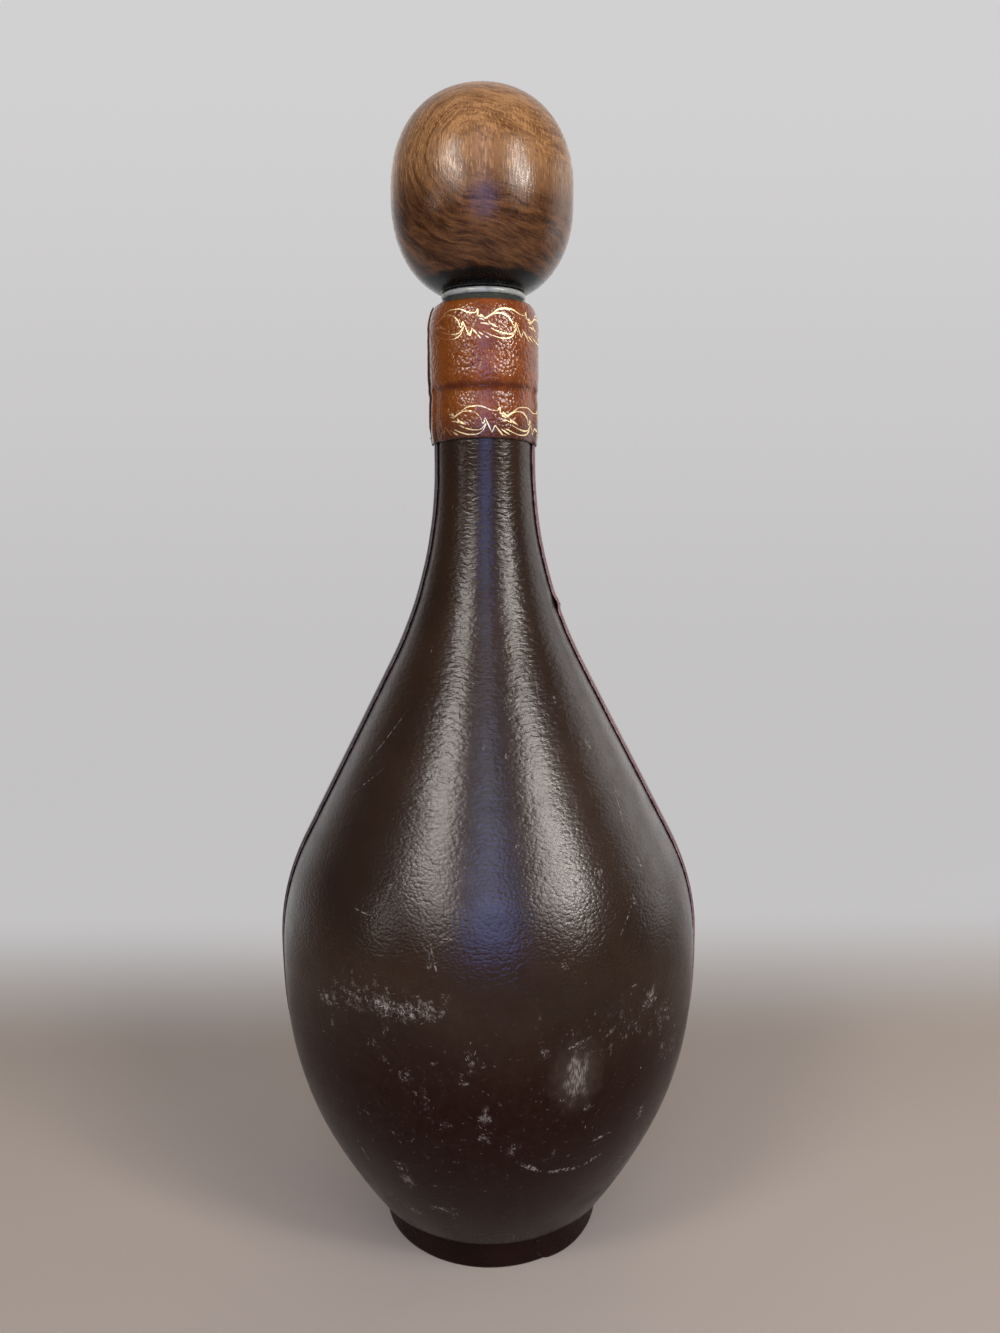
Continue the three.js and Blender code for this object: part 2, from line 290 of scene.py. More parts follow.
def add_numbers(mesh, name, values):
    """One number for each vertex, for the material to read."""
    attribute = mesh.attributes.new(name, "FLOAT", "POINT")
    attribute.data.foreach_set("value", np.asarray(values, np.float32))


def edge_gap(outline, runs, angles, rows):
    """How far each point of a sheet lies from its nearest cut edge."""
    radius = outline.at(runs)[0][0]
    across = np.radians(np.minimum(angles - angles[:1], angles[-1:] - angles)) * radius
    along = np.minimum(rows, rows[-1] - rows)
    return np.minimum(across, along)


def wrapped(name, outline, runs, angles, stand_off, thickness, edge_distance, rounding=0.35, wear=0.55):
    """A leather sheet on an outline, with its cut edges rounded off on the outside."""
    worn = wear * (1 - np.clip(edge_distance / rounding, 0, 1)) ** 2
    inside = outline.skin(runs, angles, stand_off)
    outside = outline.skin(runs, angles, stand_off + thickness * (1 - worn))
    return sheet_mesh(name, inside, outside, edge_distance)


def turned(name, profile, segments, sharp=35):
    """A piece turned about +Z from a profile that ends on the axis or closes on itself."""
    profile = np.asarray(profile, float)
    turn = np.linspace(0, 2 * np.pi, segments, endpoint=False)
    rings = np.stack([
        np.sin(turn)[:, None] * profile[:, 0],
        -np.cos(turn)[:, None] * profile[:, 0],
        np.broadcast_to(profile[:, 1], (segments, len(profile))),
    ], axis=-1)
    index = np.arange(segments * len(profile)).reshape(segments, len(profile))
    index = np.concatenate([index, index[:1]])
    mesh = mesh_from(name, rings.reshape(-1, 3), grid_faces(index), sharp)
    weld(mesh)
    mesh.set_sharp_from_angle(angle=math.radians(sharp))
    return mesh


def weld(mesh):
    """Joins the vertices that lie in one place."""
    work = bmesh.new()
    work.from_mesh(mesh)
    bmesh.ops.remove_doubles(work, verts=work.verts, dist=1e-7)
    work.to_mesh(mesh)
    work.free()


ROUNDING_STEPS = 5


def rounded(corners, radius):
    """A profile whose inner corners are rounded off with short curves."""
    corners = [np.array(corner, float) for corner in corners]
    points = [corners[0]]
    for before, here, after in zip(corners, corners[1:], corners[2:]):
        reach = min(radius, np.linalg.norm(before - here) / 2, np.linalg.norm(after - here) / 2)
        start = here + (before - here) / np.linalg.norm(before - here) * reach
        end = here + (after - here) / np.linalg.norm(after - here) * reach
        points.extend(bezier(start, (start + 2 * here) / 3, (end + 2 * here) / 3, end, ROUNDING_STEPS))
    points.append(corners[-1])
    return np.array(points)


def add_piece(name, mesh, body, materials, node=None):
    """Puts a mesh in the scene as a piece that moves with a body."""
    piece = bpy.data.objects.new(name, mesh)
    scene.collection.objects.link(piece)
    for material in materials:
        mesh.materials.append(material)
    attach(piece, body)
    if node:
        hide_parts(node)
    return piece


# Materials

class Value:
    """An output in the node tree of a material. Each sum or method adds a node and gives its output."""

    def __init__(self, tree, socket):
        self.tree = tree
        self.socket = socket

    def node(self, kind, inputs, output=0, **settings):
        return Value(self.tree, add_node(self.tree, kind, inputs, **settings).outputs[output])

    def math(self, operation, *values):
        return self.node("ShaderNodeMath", dict(enumerate((self, *values))), operation=operation)

    def __mul__(self, other):
        return self.math("MULTIPLY", other)

    def __add__(self, other):
        return self.math("ADD", other)

    def __sub__(self, other):
        return self.math("SUBTRACT", other)

    def most(self, other):
        return self.math("MAXIMUM", other)

    def gap(self, other):
        """The distance between two numbers."""
        return (self - other).math("ABSOLUTE")

    def split(self):
        sockets = add_node(self.tree, "ShaderNodeSeparateXYZ", {0: self}).outputs
        return [Value(self.tree, socket) for socket in sockets]

    def join(self, y, z=0.0):
        return self.node("ShaderNodeCombineXYZ", {0: self, 1: y, 2: z})

    def stretch(self, center=(0, 0, 0), turn=(0, 0, 0), size=(1, 1, 1)):
        """The place measured from a centre, in a turned frame, in units of a size."""
        angles = [math.radians(angle) for angle in turn]
        inputs = {"Vector": self, "Location": center, "Rotation": angles, "Scale": size}
        return self.node("ShaderNodeMapping", inputs, vector_type="TEXTURE")

    def length(self):
        return self.node("ShaderNodeVectorMath", {0: self}, "Value", operation="LENGTH")

    def noise(self, size, detail=2.0, rough=0.5, warp=0.0):
        inputs = {"Vector": self, "Scale": 1 / size, "Detail": detail}
        inputs.update({"Roughness": rough, "Distortion": warp})
        return self.node("ShaderNodeTexNoise", inputs, "Fac")

    def cells(self, size):
        return self.node("ShaderNodeTexVoronoi", {"Vector": self, "Scale": 1 / size}, "Distance")

    def span(self, low, high, start=0.0, end=1.0):
        """A smooth change from start to end as the value goes from low to high."""
        inputs = {"Value": self, "From Min": low, "From Max": high, "To Min": start, "To Max": end}
        return self.node("ShaderNodeMapRange", inputs, interpolation_type="SMOOTHSTEP")

    def between(self, first, second):
        """A number from the first to the second as this share goes from 0 to 1."""
        return self.node("ShaderNodeMix", {0: self, 2: first, 3: second}, data_type="FLOAT")

    def mix(self, first, second):
        """A colour from the first to the second as this share goes from 0 to 1."""
        return self.node("ShaderNodeMix", {0: self, 6: first, 7: second}, 2, data_type="RGBA")


def put(tree, socket, value):
    """Links a value to an input, or sets the input to a number, a vector or a colour."""
    if isinstance(value, Value):
        tree.links.new(value.socket, socket)
    elif socket.type == "RGBA":
        socket.default_value = (*value, 1.0)
    else:
        socket.default_value = value


def add_node(tree, kind, inputs, **settings):
    node = tree.nodes.new(kind)
    for key, value in settings.items():
        setattr(node, key, value)
    for key, value in inputs.items():
        put(tree, node.inputs[key], value)
    return node


class Recipe:
    """One material, with the place on its piece in millimetres."""

    def __init__(self, name):
        self.material = bpy.data.materials.new(name)
        self.material.use_nodes = True
        self.tree = self.material.node_tree
        coords = self.source("ShaderNodeTexCoord", "Object")
        self.place = coords.node("ShaderNodeVectorMath", {0: coords, "Scale": 1 / MM}, operation="SCALE")

    def source(self, kind, output, **settings):
        return Value(self.tree, add_node(self.tree, kind, {}, **settings).outputs[output])

    def attribute(self, name):
        return self.source("ShaderNodeAttribute", "Fac", attribute_name=name)

    def ray(self, kind):
        return self.source("ShaderNodeLightPath", kind)

    def finish(self, relief=None, depth=0.0, **sockets):
        """Sets the shader's inputs, named with underscores, and the height of its relief in millimetres."""
        if relief:
            inputs = {"Height": relief, "Distance": depth * MM, "Strength": 1.0}
            sockets["Normal"] = relief.node("ShaderNodeBump", inputs)
        if "Coat_Weight" in sockets:
            sockets["Coat_Normal"] = sockets["Normal"]
        shader = self.tree.nodes["Principled BSDF"]
        for key, value in sockets.items():
            put(self.tree, shader.inputs[key.replace("_", " ")], value)
        return self.material


def mottled(place, size, first, second, low=0.35, high=0.65):
    """Two colours in soft blotches of about a size."""
    return place.noise(size, 3.0).span(low, high).mix(first, second)


def round_the_axis(place, facing):
    """Distance round the axis, height and angle, counted from the front (1) or the back (-1)."""
    x, y, height = place.split()
    angle = (x * float(facing)).math("ARCTAN2", y * -float(facing))
    return angle * x.join(y).length(), height, angle.math("DEGREES")


def pebble_grain(place, cell):
    """Height of domed leather pebbles with finer wrinkles over them."""
    pebbles = place.cells(cell)
    height = place.noise(cell * 1.6) * 0.9 + pebbles * pebbles * -1.6
    return place.noise(cell * 0.5, rough=0.6) * 0.35 + height


GRAIN_CELL = 0.82
CREASE_PITCH = 0.95
CREASES_FROM = 96.0
CREASES_FULL = 168.0


def panel_grain(around, height, place):
    """Pebbles on the belly, drawn out into level creases where the leather is pulled up the neck."""
    pebbles = pebble_grain(place.stretch(size=(1.2, 1.2, 0.9)), GRAIN_CELL)
    flat = around.join(height)
    creases = flat.stretch(size=(2.1, 1.0, 1.0)).noise(CREASE_PITCH, 1.0, warp=0.5)
    short = flat.stretch(size=(1.4, 1.0, 1.0)).noise(0.7, 1.0)
    ridges = short * 0.7 + creases * 2.9
    relief = height.span(CREASES_FROM, CREASES_FULL).between(pebbles * 0.85, ridges)
    return relief * height.span(50.0, 105.0, 0.35, 1.0)


# Scuffs on the front panel as (angle, height, half width in degrees, half height, strength)
SCUFFS = [
    (-43, 87.5, 8, 4, 0.9), (-34, 90, 8, 4.5, 1.0), (-26, 90, 7, 4.5, 1.08), (-19, 90, 6, 4, 1.08),
    (-14, 91, 5, 4.5, 1.02), (-42.5, 81.5, 2.5, 3, 0.8), (-29.5, 80, 2.5, 3, 0.9), (-25.5, 84, 2, 4, 0.75),
    (-25, 75.5, 2, 2.5, 0.75), (-20.5, 73, 3, 3, 1.0), (-17, 68, 4, 3.5, 0.8), (-14.5, 65, 2.5, 2, 0.95),
    (-11, 60, 3, 3, 0.75), (-9.5, 53.5, 2, 3.5, 0.7), (-4.5, 79, 2.5, 4, 0.92), (-6, 74, 2.5, 3, 0.98),
    (-1.5, 63, 2.5, 5, 1.04), (-2, 57, 2, 3, 1.0), (-25.5, 43.5, 4, 3, 0.95), (-25, 38, 3.5, 4, 1.1),
    (-28.5, 24.5, 5, 3, 0.95), (-17.5, 28.5, 5, 2.2, 1.1), (-12.5, 27.5, 3, 4, 1.0), (-36, 27.5, 4, 4, 0.85),
    (-35.5, 57.5, 2, 4, 0.65), (-41.5, 65, 2.5, 4, 0.65), (-36, 101, 4, 2, 0.65), (-14, 102.5, 2, 2.5, 0.9),
    (5.5, 53, 2, 4, 1.05), (13, 80, 2.5, 2, 0.9), (17.5, 66, 4, 2, 0.8), (24.5, 62.5, 2, 3, 0.7),
    (22.5, 80.5, 4, 2, 0.75), (29.5, 79, 4, 2, 0.65), (31.5, 85.5, 2, 4, 0.8), (25.5, 88, 2, 2, 0.85),
    (43.5, 86, 5, 5, 0.95), (50, 79, 9, 6, 0.8), (46.5, 76.5, 7, 2.5, 0.8), (54, 68.5, 9, 7, 0.8),
    (44.5, 52.5, 3, 3, 0.9), (43, 36.5, 4, 4, 0.75), (18, 100.5, 2, 2, 0.8), (-5, 60, 62, 46, 0.42),
    (0, 15, 75, 4.5, 0.55), (-25, 92, 26, 8, 0.72), (32, 82, 24, 10, 0.62),
]

# Scratches on the front panel from (angle, height) to (angle, height), with a width
SCRATCHES = [
    ((-39, 161), (-59, 140), 0.22),
    ((-42, 145), (-61, 133), 0.2),
    ((-38.5, 111.6), (-31.6, 110.8), 0.22),
    ((-12.4, 108.1), (-7.4, 108.3), 0.22),
    ((-14.6, 107), (-12, 99), 0.3),
    ((-40.5, 49), (-38, 38), 0.25),
    ((6, 49), (14.5, 43.5), 0.9),
    ((13.5, 43.5), (27, 42), 0.9),
    ((26, 42), (33, 44.5), 0.9),
    ((26, 50.5), (34.5, 51), 0.6),
    ((17, 79.5), (25, 82), 0.5),
    ((52, 137), (49, 127), 0.25),
    ((49.8, 121), (49.6, 116), 0.3),
    ((34, 104), (42, 112), 0.2),
    ((-47, 77.5), (-43, 77), 0.2),
    ((36, 91.5), (40, 91.8), 0.25),
    ((39, 66), (42, 68.5), 0.3),
]

# Small bright nicks on the front panel as (angle, height, size)
NICKS = [
    (-38, 174, 0.7), (36, 161, 0.6), (47, 149, 0.8), (11.5, 162, 0.6), (8, 149, 0.7), (-1.5, 151, 0.5),
    (53, 136, 0.6), (33, 120, 0.6), (26, 109, 0.7), (42, 112, 0.8), (9, 128, 0.5), (-28, 118, 0.5),
]

# A painted highlight low on the right of the front, a lamp's reflection on smooth leather, as (angle, height)
# and half sizes
PAINTED_GLINT_PLACE = (21.0, 72.0)
PAINTED_GLINT_CORE = (3.4, 7.2)
PAINTED_GLINT_HALO = (8.5, 12.0)


def scratch_mask(flat):
    """Where the scratches and the rims of the nicks are, from 0 to 1, on a plane of angle and height."""
    shapes = []
    for (first, low), (last, high), width in SCRATCHES:
        center = ((first + last) / 2, (low + high) / 2, 0)
        tilt = math.degrees(math.atan2(high - low, last - first))
        half = math.hypot(last - first, high - low) / 2
        shapes.append(flat.stretch(center, (0, 0, tilt), (half, width, 1)).length().span(1.0, 0.35))
    for number, (angle, level, size) in enumerate(NICKS):
        scale = (size * 2.0, size * 1.2, 1)
        shape = flat.stretch((angle, level, 0), (0, 0, 25 + 50 * number), scale).length()
        rim = shape.gap(0.65).span(0.4, 0.1, 0.0, 0.6)
        shapes.append(rim.most(shape.span(0.9, 0.5, 0.0, 0.35)))
    return functools.reduce(Value.most, shapes)


def hairlines(flat, turn, size):
    """Thin wandering lines, mostly along one direction."""
    field = flat.stretch(turn=(0, 0, turn), size=(0.6, 1.6, 1)).noise(size, warp=0.5)
    return field.gap(0.5).span(0.05, 0.012)


def strokes(flat, turn, size):
    """A field of long thin streaks along one direction."""
    return flat.stretch(turn=(0, 0, turn), size=(0.36, 2.8, 1)).noise(size, 1.0, 0.4, 0.25)


def rubbed_marks(scuff, around, height, place):
    """Strokes and hairlines where the panel is scuffed with sparse specks low down, and a soft haze."""
    flat = around.join(height)
    field = strokes(flat, -10, 0.8).most(strokes(flat, 38, 0.75)).most(strokes(flat, -66, 0.7))
    patchy = place.noise(2.2, 3.0).span(0.36, 0.66)
    reach = scuff.math("POWER", 1.5) * (patchy * 0.16 + 0.09)
    shine = place.noise(0.9).span(0.34, 0.62, 0.3, 1.0)
    marks = (field + reach).span(0.815, 0.885) * shine
    hairs = hairlines(flat, -12, 1.15).most(hairlines(flat, 50, 1.5))
    gaps = scuff * 0.32 + place.noise(1.7, 3.0)
    hairs = hairs * (shine * gaps.span(0.74, 0.98, 0.0, 0.6))
    specks = place.noise(0.75, 1.0).span(0.78, 0.86)
    specks = specks * (height.span(112.0, 95.0, 0.06, 0.3) * patchy)
    return marks.most(hairs).most(specks), scuff * patchy


def painted_glint(flat):
    """The streaky core of the painted highlight low on the right, and the paler painted haze round it."""
    ragged = flat.stretch(size=(1.0, 1.5, 1)).noise(1.9, 3.0)
    core = flat.stretch((*PAINTED_GLINT_PLACE, 0), (0, 0, -4), (*PAINTED_GLINT_CORE, 1)).length()
    streaks = flat.stretch(size=(0.5, 2.4, 1)).noise(0.75, 3.0, warp=0.4)
    core = (ragged * 1.7 + core).span(1.85, 1.2) * streaks.span(0.4, 0.62, 0.15, 1.0)
    halo = flat.stretch((*PAINTED_GLINT_PLACE, 0), size=(*PAINTED_GLINT_HALO, 1)).length()
    return core, (ragged * 0.6 + halo).span(1.4, 0.5)


def gloss(place, height, rubbed):
    """The glossy finish left: most on the shoulder, less on the neck, little low down or where rubbed."""
    kept = height.span(62.0, 112.0, 0.2, 0.82) * height.span(140.0, 190.0, 1.0, 0.72)
    kept = kept * place.noise(6.0, 3.0).span(0.3, 0.6, 0.8, 1.0)
    return kept * rubbed.span(0.1, 0.7, 1.0, 0.3)


PANEL_RELIEF = 0.052
LEATHER_SHEEN = 0.04


def front_leather():
    """Dark chocolate leather, semi-gloss, with pale scuffs and scratches."""
    leather = Recipe("dark_front_leather")
    place = leather.place
    around, height, angle = round_the_axis(place, 1)
    base = mottled(place, 26.0, (0.0172, 0.0076, 0.0034), (0.024, 0.011, 0.0052))
    # Painted shade: the base darkens towards the bottom of the belly, which faces down
    base = height.span(104.0, 58.0, 0.0, 0.95).mix(base, (0.0115, 0.0018, 0.0004))
    marks, haze = rubbed_marks(leather.attribute("scuff"), around, height, place)
    flat = angle.join(height)
    scratches = scratch_mask(flat) * place.noise(0.8).span(0.46, 0.6)
    # The painted highlight: its core is laid in with the pale marks, and its haze lightens the base
    core, halo = painted_glint(flat)
    marks = marks.most(scratches * 0.72).most(core * 0.62)
    edge = leather.attribute("edge").span(0.9, 0.1) * place.noise(2.5).span(0.4, 0.65)
    color = (haze * 0.03).most(halo * 0.15).mix(base, (0.2, 0.165, 0.125))
    color = (marks * 0.88).mix(color, (0.35, 0.305, 0.255))
    color = (edge * 0.4).mix(color, (0.16, 0.10, 0.07))
    roughness = marks * 0.35 + place.noise(9.0, 3.0).span(0.3, 0.7, 0.2, 0.3)
    relief = marks * -0.4 + panel_grain(around, height, place)
    return leather.finish(
        relief, PANEL_RELIEF, Base_Color=color, Roughness=roughness, Specular_IOR_Level=LEATHER_SHEEN,
        Coat_Weight=gloss(place, height, marks), Coat_Roughness=0.265, Coat_IOR=1.5,
    )


def rear_leather():
    """Dark oxblood leather of the rear panel, paler and fibrous along its cut edge."""
    leather = Recipe("oxblood_rear_leather")
    place = leather.place
    around, height, _ = round_the_axis(place, -1)
    base = mottled(place, 22.0, (0.03, 0.008, 0.0052), (0.046, 0.0145, 0.0102))
    worn = place.noise(1.3, 3.0).span(0.64, 0.78) * place.noise(34.0).span(0.45, 0.7, 0.0, 0.6)
    color = worn.mix(base, (0.3, 0.24, 0.21))
    fibres = place.noise(0.55, 3.0, 0.65)
    edge = fibres * -1.4 + leather.attribute("edge")
    edge = (place.noise(3.2) * -1.2 + edge).span(-0.15, -0.95, 0.0, 0.85)
    # Painted shade: the cut edge is greyer and darker on the left side than on the right
    right = place.split()[0].span(-6.0, 6.0)
    color = edge.mix(color, right.mix((0.085, 0.08, 0.078), (0.24, 0.135, 0.13)))
    roughness = edge * 0.25 + place.noise(9.0, 3.0).span(0.3, 0.7, 0.27, 0.4)
    relief = fibres * edge * 1.5 + panel_grain(around, height, place)
    return leather.finish(
        relief, PANEL_RELIEF, Base_Color=color, Roughness=roughness, Specular_IOR_Level=LEATHER_SHEEN,
        Coat_Weight=gloss(place, height, edge), Coat_Roughness=0.26, Coat_IOR=1.5,
    )


GLUE_AND_SHADE_COLOR = (0.006, 0.004, 0.004)


def raw_edge(name, pale, dark, side_shade=False):
    """The fibrous cut edge of a sheet, with a broken dark line of glue and painted shade along its inner
    side.
    """
    leather = Recipe(name)
    place = leather.place
    tone = place.noise(3.0) * 0.8 + place.noise(0.45, 4.0, 0.7)
    color = tone.span(0.62, 1.1).mix(dark, pale)
    if side_shade:
        color = place.split()[0].span(6.0, -6.0, 0.0, 0.75).mix(color, dark)
    # Glue and painted shade: a broken dark line where the edge meets the sheet below
    line = place.noise(1.5, 3.0) * 1.5 + leather.attribute("depth")
    color = line.span(1.25, 1.0).mix(color, GLUE_AND_SHADE_COLOR)
    return leather.finish(tone, 0.2, Base_Color=color, Roughness=0.75)


CREASE_HEIGHT = bead_bottom - 0.6


def collar_leather():
    """Cognac leather with painted shade in its crease, on its left side and under its head, and a darker foot
    and cut edge.
    """
    leather = Recipe("cognac_collar_leather")
    place = leather.place
    x, y, height = place.split()
    foot = collar_low[2]
    head = collar_high[2]
    # Painted shade along the crease under the bead, strongest at the front
    crease_shade = place.noise(4.5) * 2.6 + height.gap(CREASE_HEIGHT)
    crease_shade = crease_shade.span(2.8, 1.2, 0.0, 0.95) * y.span(2.0, -11.0, 0.25, 1.0)
    color = mottled(place, 5.0, (0.15, 0.033, 0.0055), (0.216, 0.055, 0.0105), 0.32, 0.68)
    # Left side painted darker as shade, painted shade in the crease, darker foot, smudges, specks, painted
    # shade under the head and dark cut edge, one over the other
    layers = [
        # Painted shade: the left side, which catches little light, darker and deeper in colour
        (x.span(1.0, -9.5, 0.0, 0.75), (0.165, 0.042, 0.0022)),
        (crease_shade, (0.075, 0.012, 0.0018)),
        (height.span(foot + 8.5, foot, 0.0, 0.9), (0.062, 0.018, 0.0095)),
        (place.noise(2.4, 3.0).span(0.54, 0.72, 0.0, 0.55), (0.085, 0.016, 0.003)),
        (place.noise(0.7).span(0.62, 0.74, 0.0, 0.6), (0.06, 0.011, 0.002)),
        # Painted shade under the ring, at the head of the collar
        (height.span(head - 1.6, head + 0.2, 0.0, 0.6), (0.06, 0.022, 0.01)),
        (leather.attribute("edge").span(0.55, 0.1, 0.0, 0.7), (0.03, 0.012, 0.007)),
    ]
    for share, tone in layers:
        color = share.mix(color, tone)
    roughness = place.noise(4.0).span(0.3, 0.7, 0.14, 0.21)
    grain = pebble_grain(place, 1.0)
    return leather.finish(grain, 0.105, Base_Color=color, Roughness=roughness, Specular_IOR_Level=0.42)


def gold_foil():
    """Pale gold foil, pressed in and worn through in places, more so towards the lap at the left."""
    foil = Recipe("worn_gold_foil")
    place = foil.place
    wear = place.noise(0.7, 3.0, 0.65)
    handled = place.split()[0].span(-6.5, -10.5, 0.0, 0.34)
    worn = (place.noise(5.0, 1.0) * 0.5 + wear + handled).span(0.8, 0.96, 0.0, 0.95)
    color = wear.span(0.35, 0.65).mix((0.9, 0.69, 0.32), (1.0, 0.87, 0.55))
    color = worn.mix(color, (0.2, 0.055, 0.009))
    roughness = wear.span(0.3, 0.7, 0.32, 0.5)
    return foil.finish(Base_Color=color, Metallic=worn * -0.6 + 0.65, Roughness=roughness)


def band_leather():
    """Dark leather of the foot band, scuffed along its edges."""
    leather = Recipe("dark_band_leather")
    place = leather.place
    base = mottled(place, 14.0, (0.0075, 0.0014, 0.0005), (0.0125, 0.003, 0.0013))
    rub = place.noise(1.2, 4.0, 0.65).span(0.48, 0.72)
    edge = leather.attribute("edge").span(1.1, 0.05) * rub
    color = (edge * 0.34).mix(base, (0.2, 0.13, 0.085))
    color = place.noise(0.7).span(0.7, 0.8, 0.0, 0.35).mix(color, (0.17, 0.14, 0.11))
    roughness = rub * 0.15 + 0.42
    grain = pebble_grain(place, 0.9)
    return leather.finish(grain, 0.06, Base_Color=color, Roughness=roughness, Specular_IOR_Level=0.14)


def base_leather():
    """Matt, rubbed leather under the foot."""
    leather = Recipe("rubbed_base_leather")
    place = leather.place
    nap = place.noise(0.6, 4.0, 0.7)
    color = mottled(place, 8.0, (0.02, 0.011, 0.008), (0.05, 0.03, 0.021), 0.3, 0.7)
    x, y, _ = place.split()
    rubbed = x.join(y).length().span(22.0, 29.0) * nap.span(0.45, 0.65)
    color = (rubbed * 0.5).mix(color, (0.17, 0.12, 0.09))
    return leather.finish(nap, 0.12, Base_Color=color, Roughness=0.85)


def bottle_glass():
    """Clear green-grey glass with faint ripples."""
    glass = Recipe("green_bottle_glass")
    place = glass.place
    color = place.noise(18.0).span(0.35, 0.65).mix((0.17, 0.185, 0.15), (0.24, 0.26, 0.21))
    swirl = place.stretch(size=(1, 1, 3)).noise(4.0)
    roughness = place.noise(3.0, 3.0).span(0.4, 0.8, 0.03, 0.14)
    return glass.finish(swirl, 0.05, Base_Color=color, Roughness=roughness, Transmission_Weight=0.85, IOR=1.5)


SEAT_SHADOW_TOP = 2.9


def painted_seat_shadow(local):
    """A painted black shadow round the ball's seat, with an uneven upper edge."""
    above = local.split()[2] - float(ball_low[2] - ball_high[2]) / 2
    return (local.noise(3.0, 3.0) * -1.6 + above).span(SEAT_SHADOW_TOP, SEAT_SHADOW_TOP - 1.0)


RING_HEART = (-1.5, 0, 3.0)
RING_TILT = 14
RING_CORE = 7.5


def ball_wood():
    """Figured brown wood under satin varnish, whose growth rings open to the lower right, with painted shade
    towards the bottom and a painted shadow round the seat.
    """
    wood = Recipe("figured_ball_wood")
    local = wood.place.stretch((0, 0, (ball_low[2] + ball_high[2]) / 2))
    height = local.split()[2]
    along, depth, across = local.stretch(RING_HEART, (0, RING_TILT, 0)).split()
    away = along.math("MINIMUM", 0.0).join(across, RING_CORE).length()
    ring = local.noise(3.5) * 0.7 + (local.noise(12.0) * 3.2 + away)
    line = ring.join(along * 0.12, depth * 0.12)
    fine = line.noise(0.42, 3.0, 0.6)
    tone = fine * 0.85 + line.noise(1.25, rough=0.55)
    tone = away.span(RING_CORE + 3.0, RING_CORE, 0.0, 0.8).between(tone, 0.88)
    # Painted shade: the wood is darker towards the bottom of the ball and paler on top, as light falls from
    # above
    lower = height.span(6.0, -10.0)
    tone = lower * 0.07 + tone
    pale = lower.mix((0.3, 0.148, 0.057), (0.145, 0.06, 0.021))
    middle = lower.mix((0.178, 0.081, 0.028), (0.078, 0.03, 0.01))
    dark = lower.mix((0.115, 0.042, 0.012), (0.036, 0.0115, 0.0036))
    color = tone.span(0.76, 1.02).mix(pale, middle)
    color = tone.span(1.0, 1.18).mix(color, dark)
    flecks = local.stretch(size=(0.42, 0.42, 2.6)).noise(1.0)
    pores_and_glints_band = height.span(-6.0, 0.0) * height.span(20.0, 11.0, 0.25, 1.0)
    color = (flecks.span(0.54, 0.68, 0.0, 0.7) * pores_and_glints_band).mix(color, (0.085, 0.031, 0.011))
    # Pale flecks: the wood's pores, painted paler as glints in the band where the highlights fall
    color = (flecks.span(0.45, 0.32, 0.0, 0.5) * pores_and_glints_band).mix(color, (0.47, 0.25, 0.095))
    # Painted shadow: black round the seat, under the ball
    color = painted_seat_shadow(local).mix(color, (0.0035, 0.003, 0.0028))
    roughness = flecks.span(0.35, 0.65, 0.16, 0.33)
    relief = flecks * 1.3 + fine
    return wood.finish(relief, 0.035, Base_Color=color, Roughness=roughness, Specular_IOR_Level=0.33)


def dowel_wood():
    """Bare pale wood with straight grain."""
    wood = Recipe("pale_dowel_wood")
    grain = wood.place.stretch(size=(0.5, 0.5, 9)).noise(1.0, 3.0)
    color = grain.span(0.35, 0.65).mix((0.5, 0.32, 0.15), (0.36, 0.2, 0.085))
    return wood.finish(grain, 0.05, Base_Color=color, Roughness=0.6)


def pressed_cork():
    """Cork with dark pores and pale lumps."""
    cork = Recipe("pressed_cork")
    lumps = cork.place.noise(1.6, 4.0, 0.6)
    pores = cork.place.stretch(size=(1, 1, 0.6)).cells(2.4)
    color = lumps.span(0.3, 0.7).mix((0.3, 0.16, 0.07), (0.52, 0.32, 0.16))
    color = pores.span(0.28, 0.12, 0.0, 0.85).mix(color, (0.07, 0.03, 0.014))
    relief = pores.span(0.12, 0.3) * 1.5 + lumps
    return cork.finish(relief, 0.15, Base_Color=color, Roughness=0.85)


def ring_plastic():
    """Aged pale grey plastic, satin."""
    plastic = Recipe("grey_ring_plastic")
    place = plastic.place
    color = mottled(place, 2.2, (0.3, 0.305, 0.27), (0.17, 0.175, 0.15), 0.4, 0.7)
    scratches = place.stretch(size=(1, 1, 0.15)).noise(1.4)
    roughness = scratches.span(0.3, 0.7, 0.2, 0.36)
    return plastic.finish(scratches, 0.02, Base_Color=color, Roughness=roughness)


# Pieces of the bottle

MOUTH_BEVEL = 0.4


def glass_bottle():
    body = Outline(body_points())
    floor = glass_seat + GLASS_WALL
    foot = rounded([
        (punt_radius, glass_seat), (FOOT_RADIUS, glass_seat), (FOOT_RADIUS, foot_top),
        (heel_radius, heel_height),
    ], FOOT_CHAMFER)
    neck = rounded([
        (NECK_RADIUS, neck_start), (NECK_RADIUS, bead_bottom), (bead_radius, bead_bottom + BEAD_CHAMFER),
        (bead_radius, bead_top),
    ], BEAD_CHAMFER)
    outside = [
        arc((0, glass_seat), (punt_radius, PUNT_RISE), 90, 0, 16)[:-1], foot, body.points[1:-1], neck,
        lip_points(LIP_HEIGHT, 20)[1:],
    ]
    inner_body = body.points - body.normals * GLASS_WALL
    inside = [
        arc((0, floor), (punt_radius, PUNT_RISE), 90, 0, 16), [(FOOT_RADIUS - GLASS_WALL, foot_top)],
        inner_body[4:], [(bore_radius, lip_top - MOUTH_BEVEL), (bore_radius + MOUTH_BEVEL, lip_top)],
    ]
    profile = np.vstack([np.vstack(outside), np.vstack(inside)[::-1]])
    mesh = turned("glass_bottle_mesh", profile, segments=144)
    add_piece("bottle_glass", mesh, "bottle", [bottle_glass()], "glass_bottle")


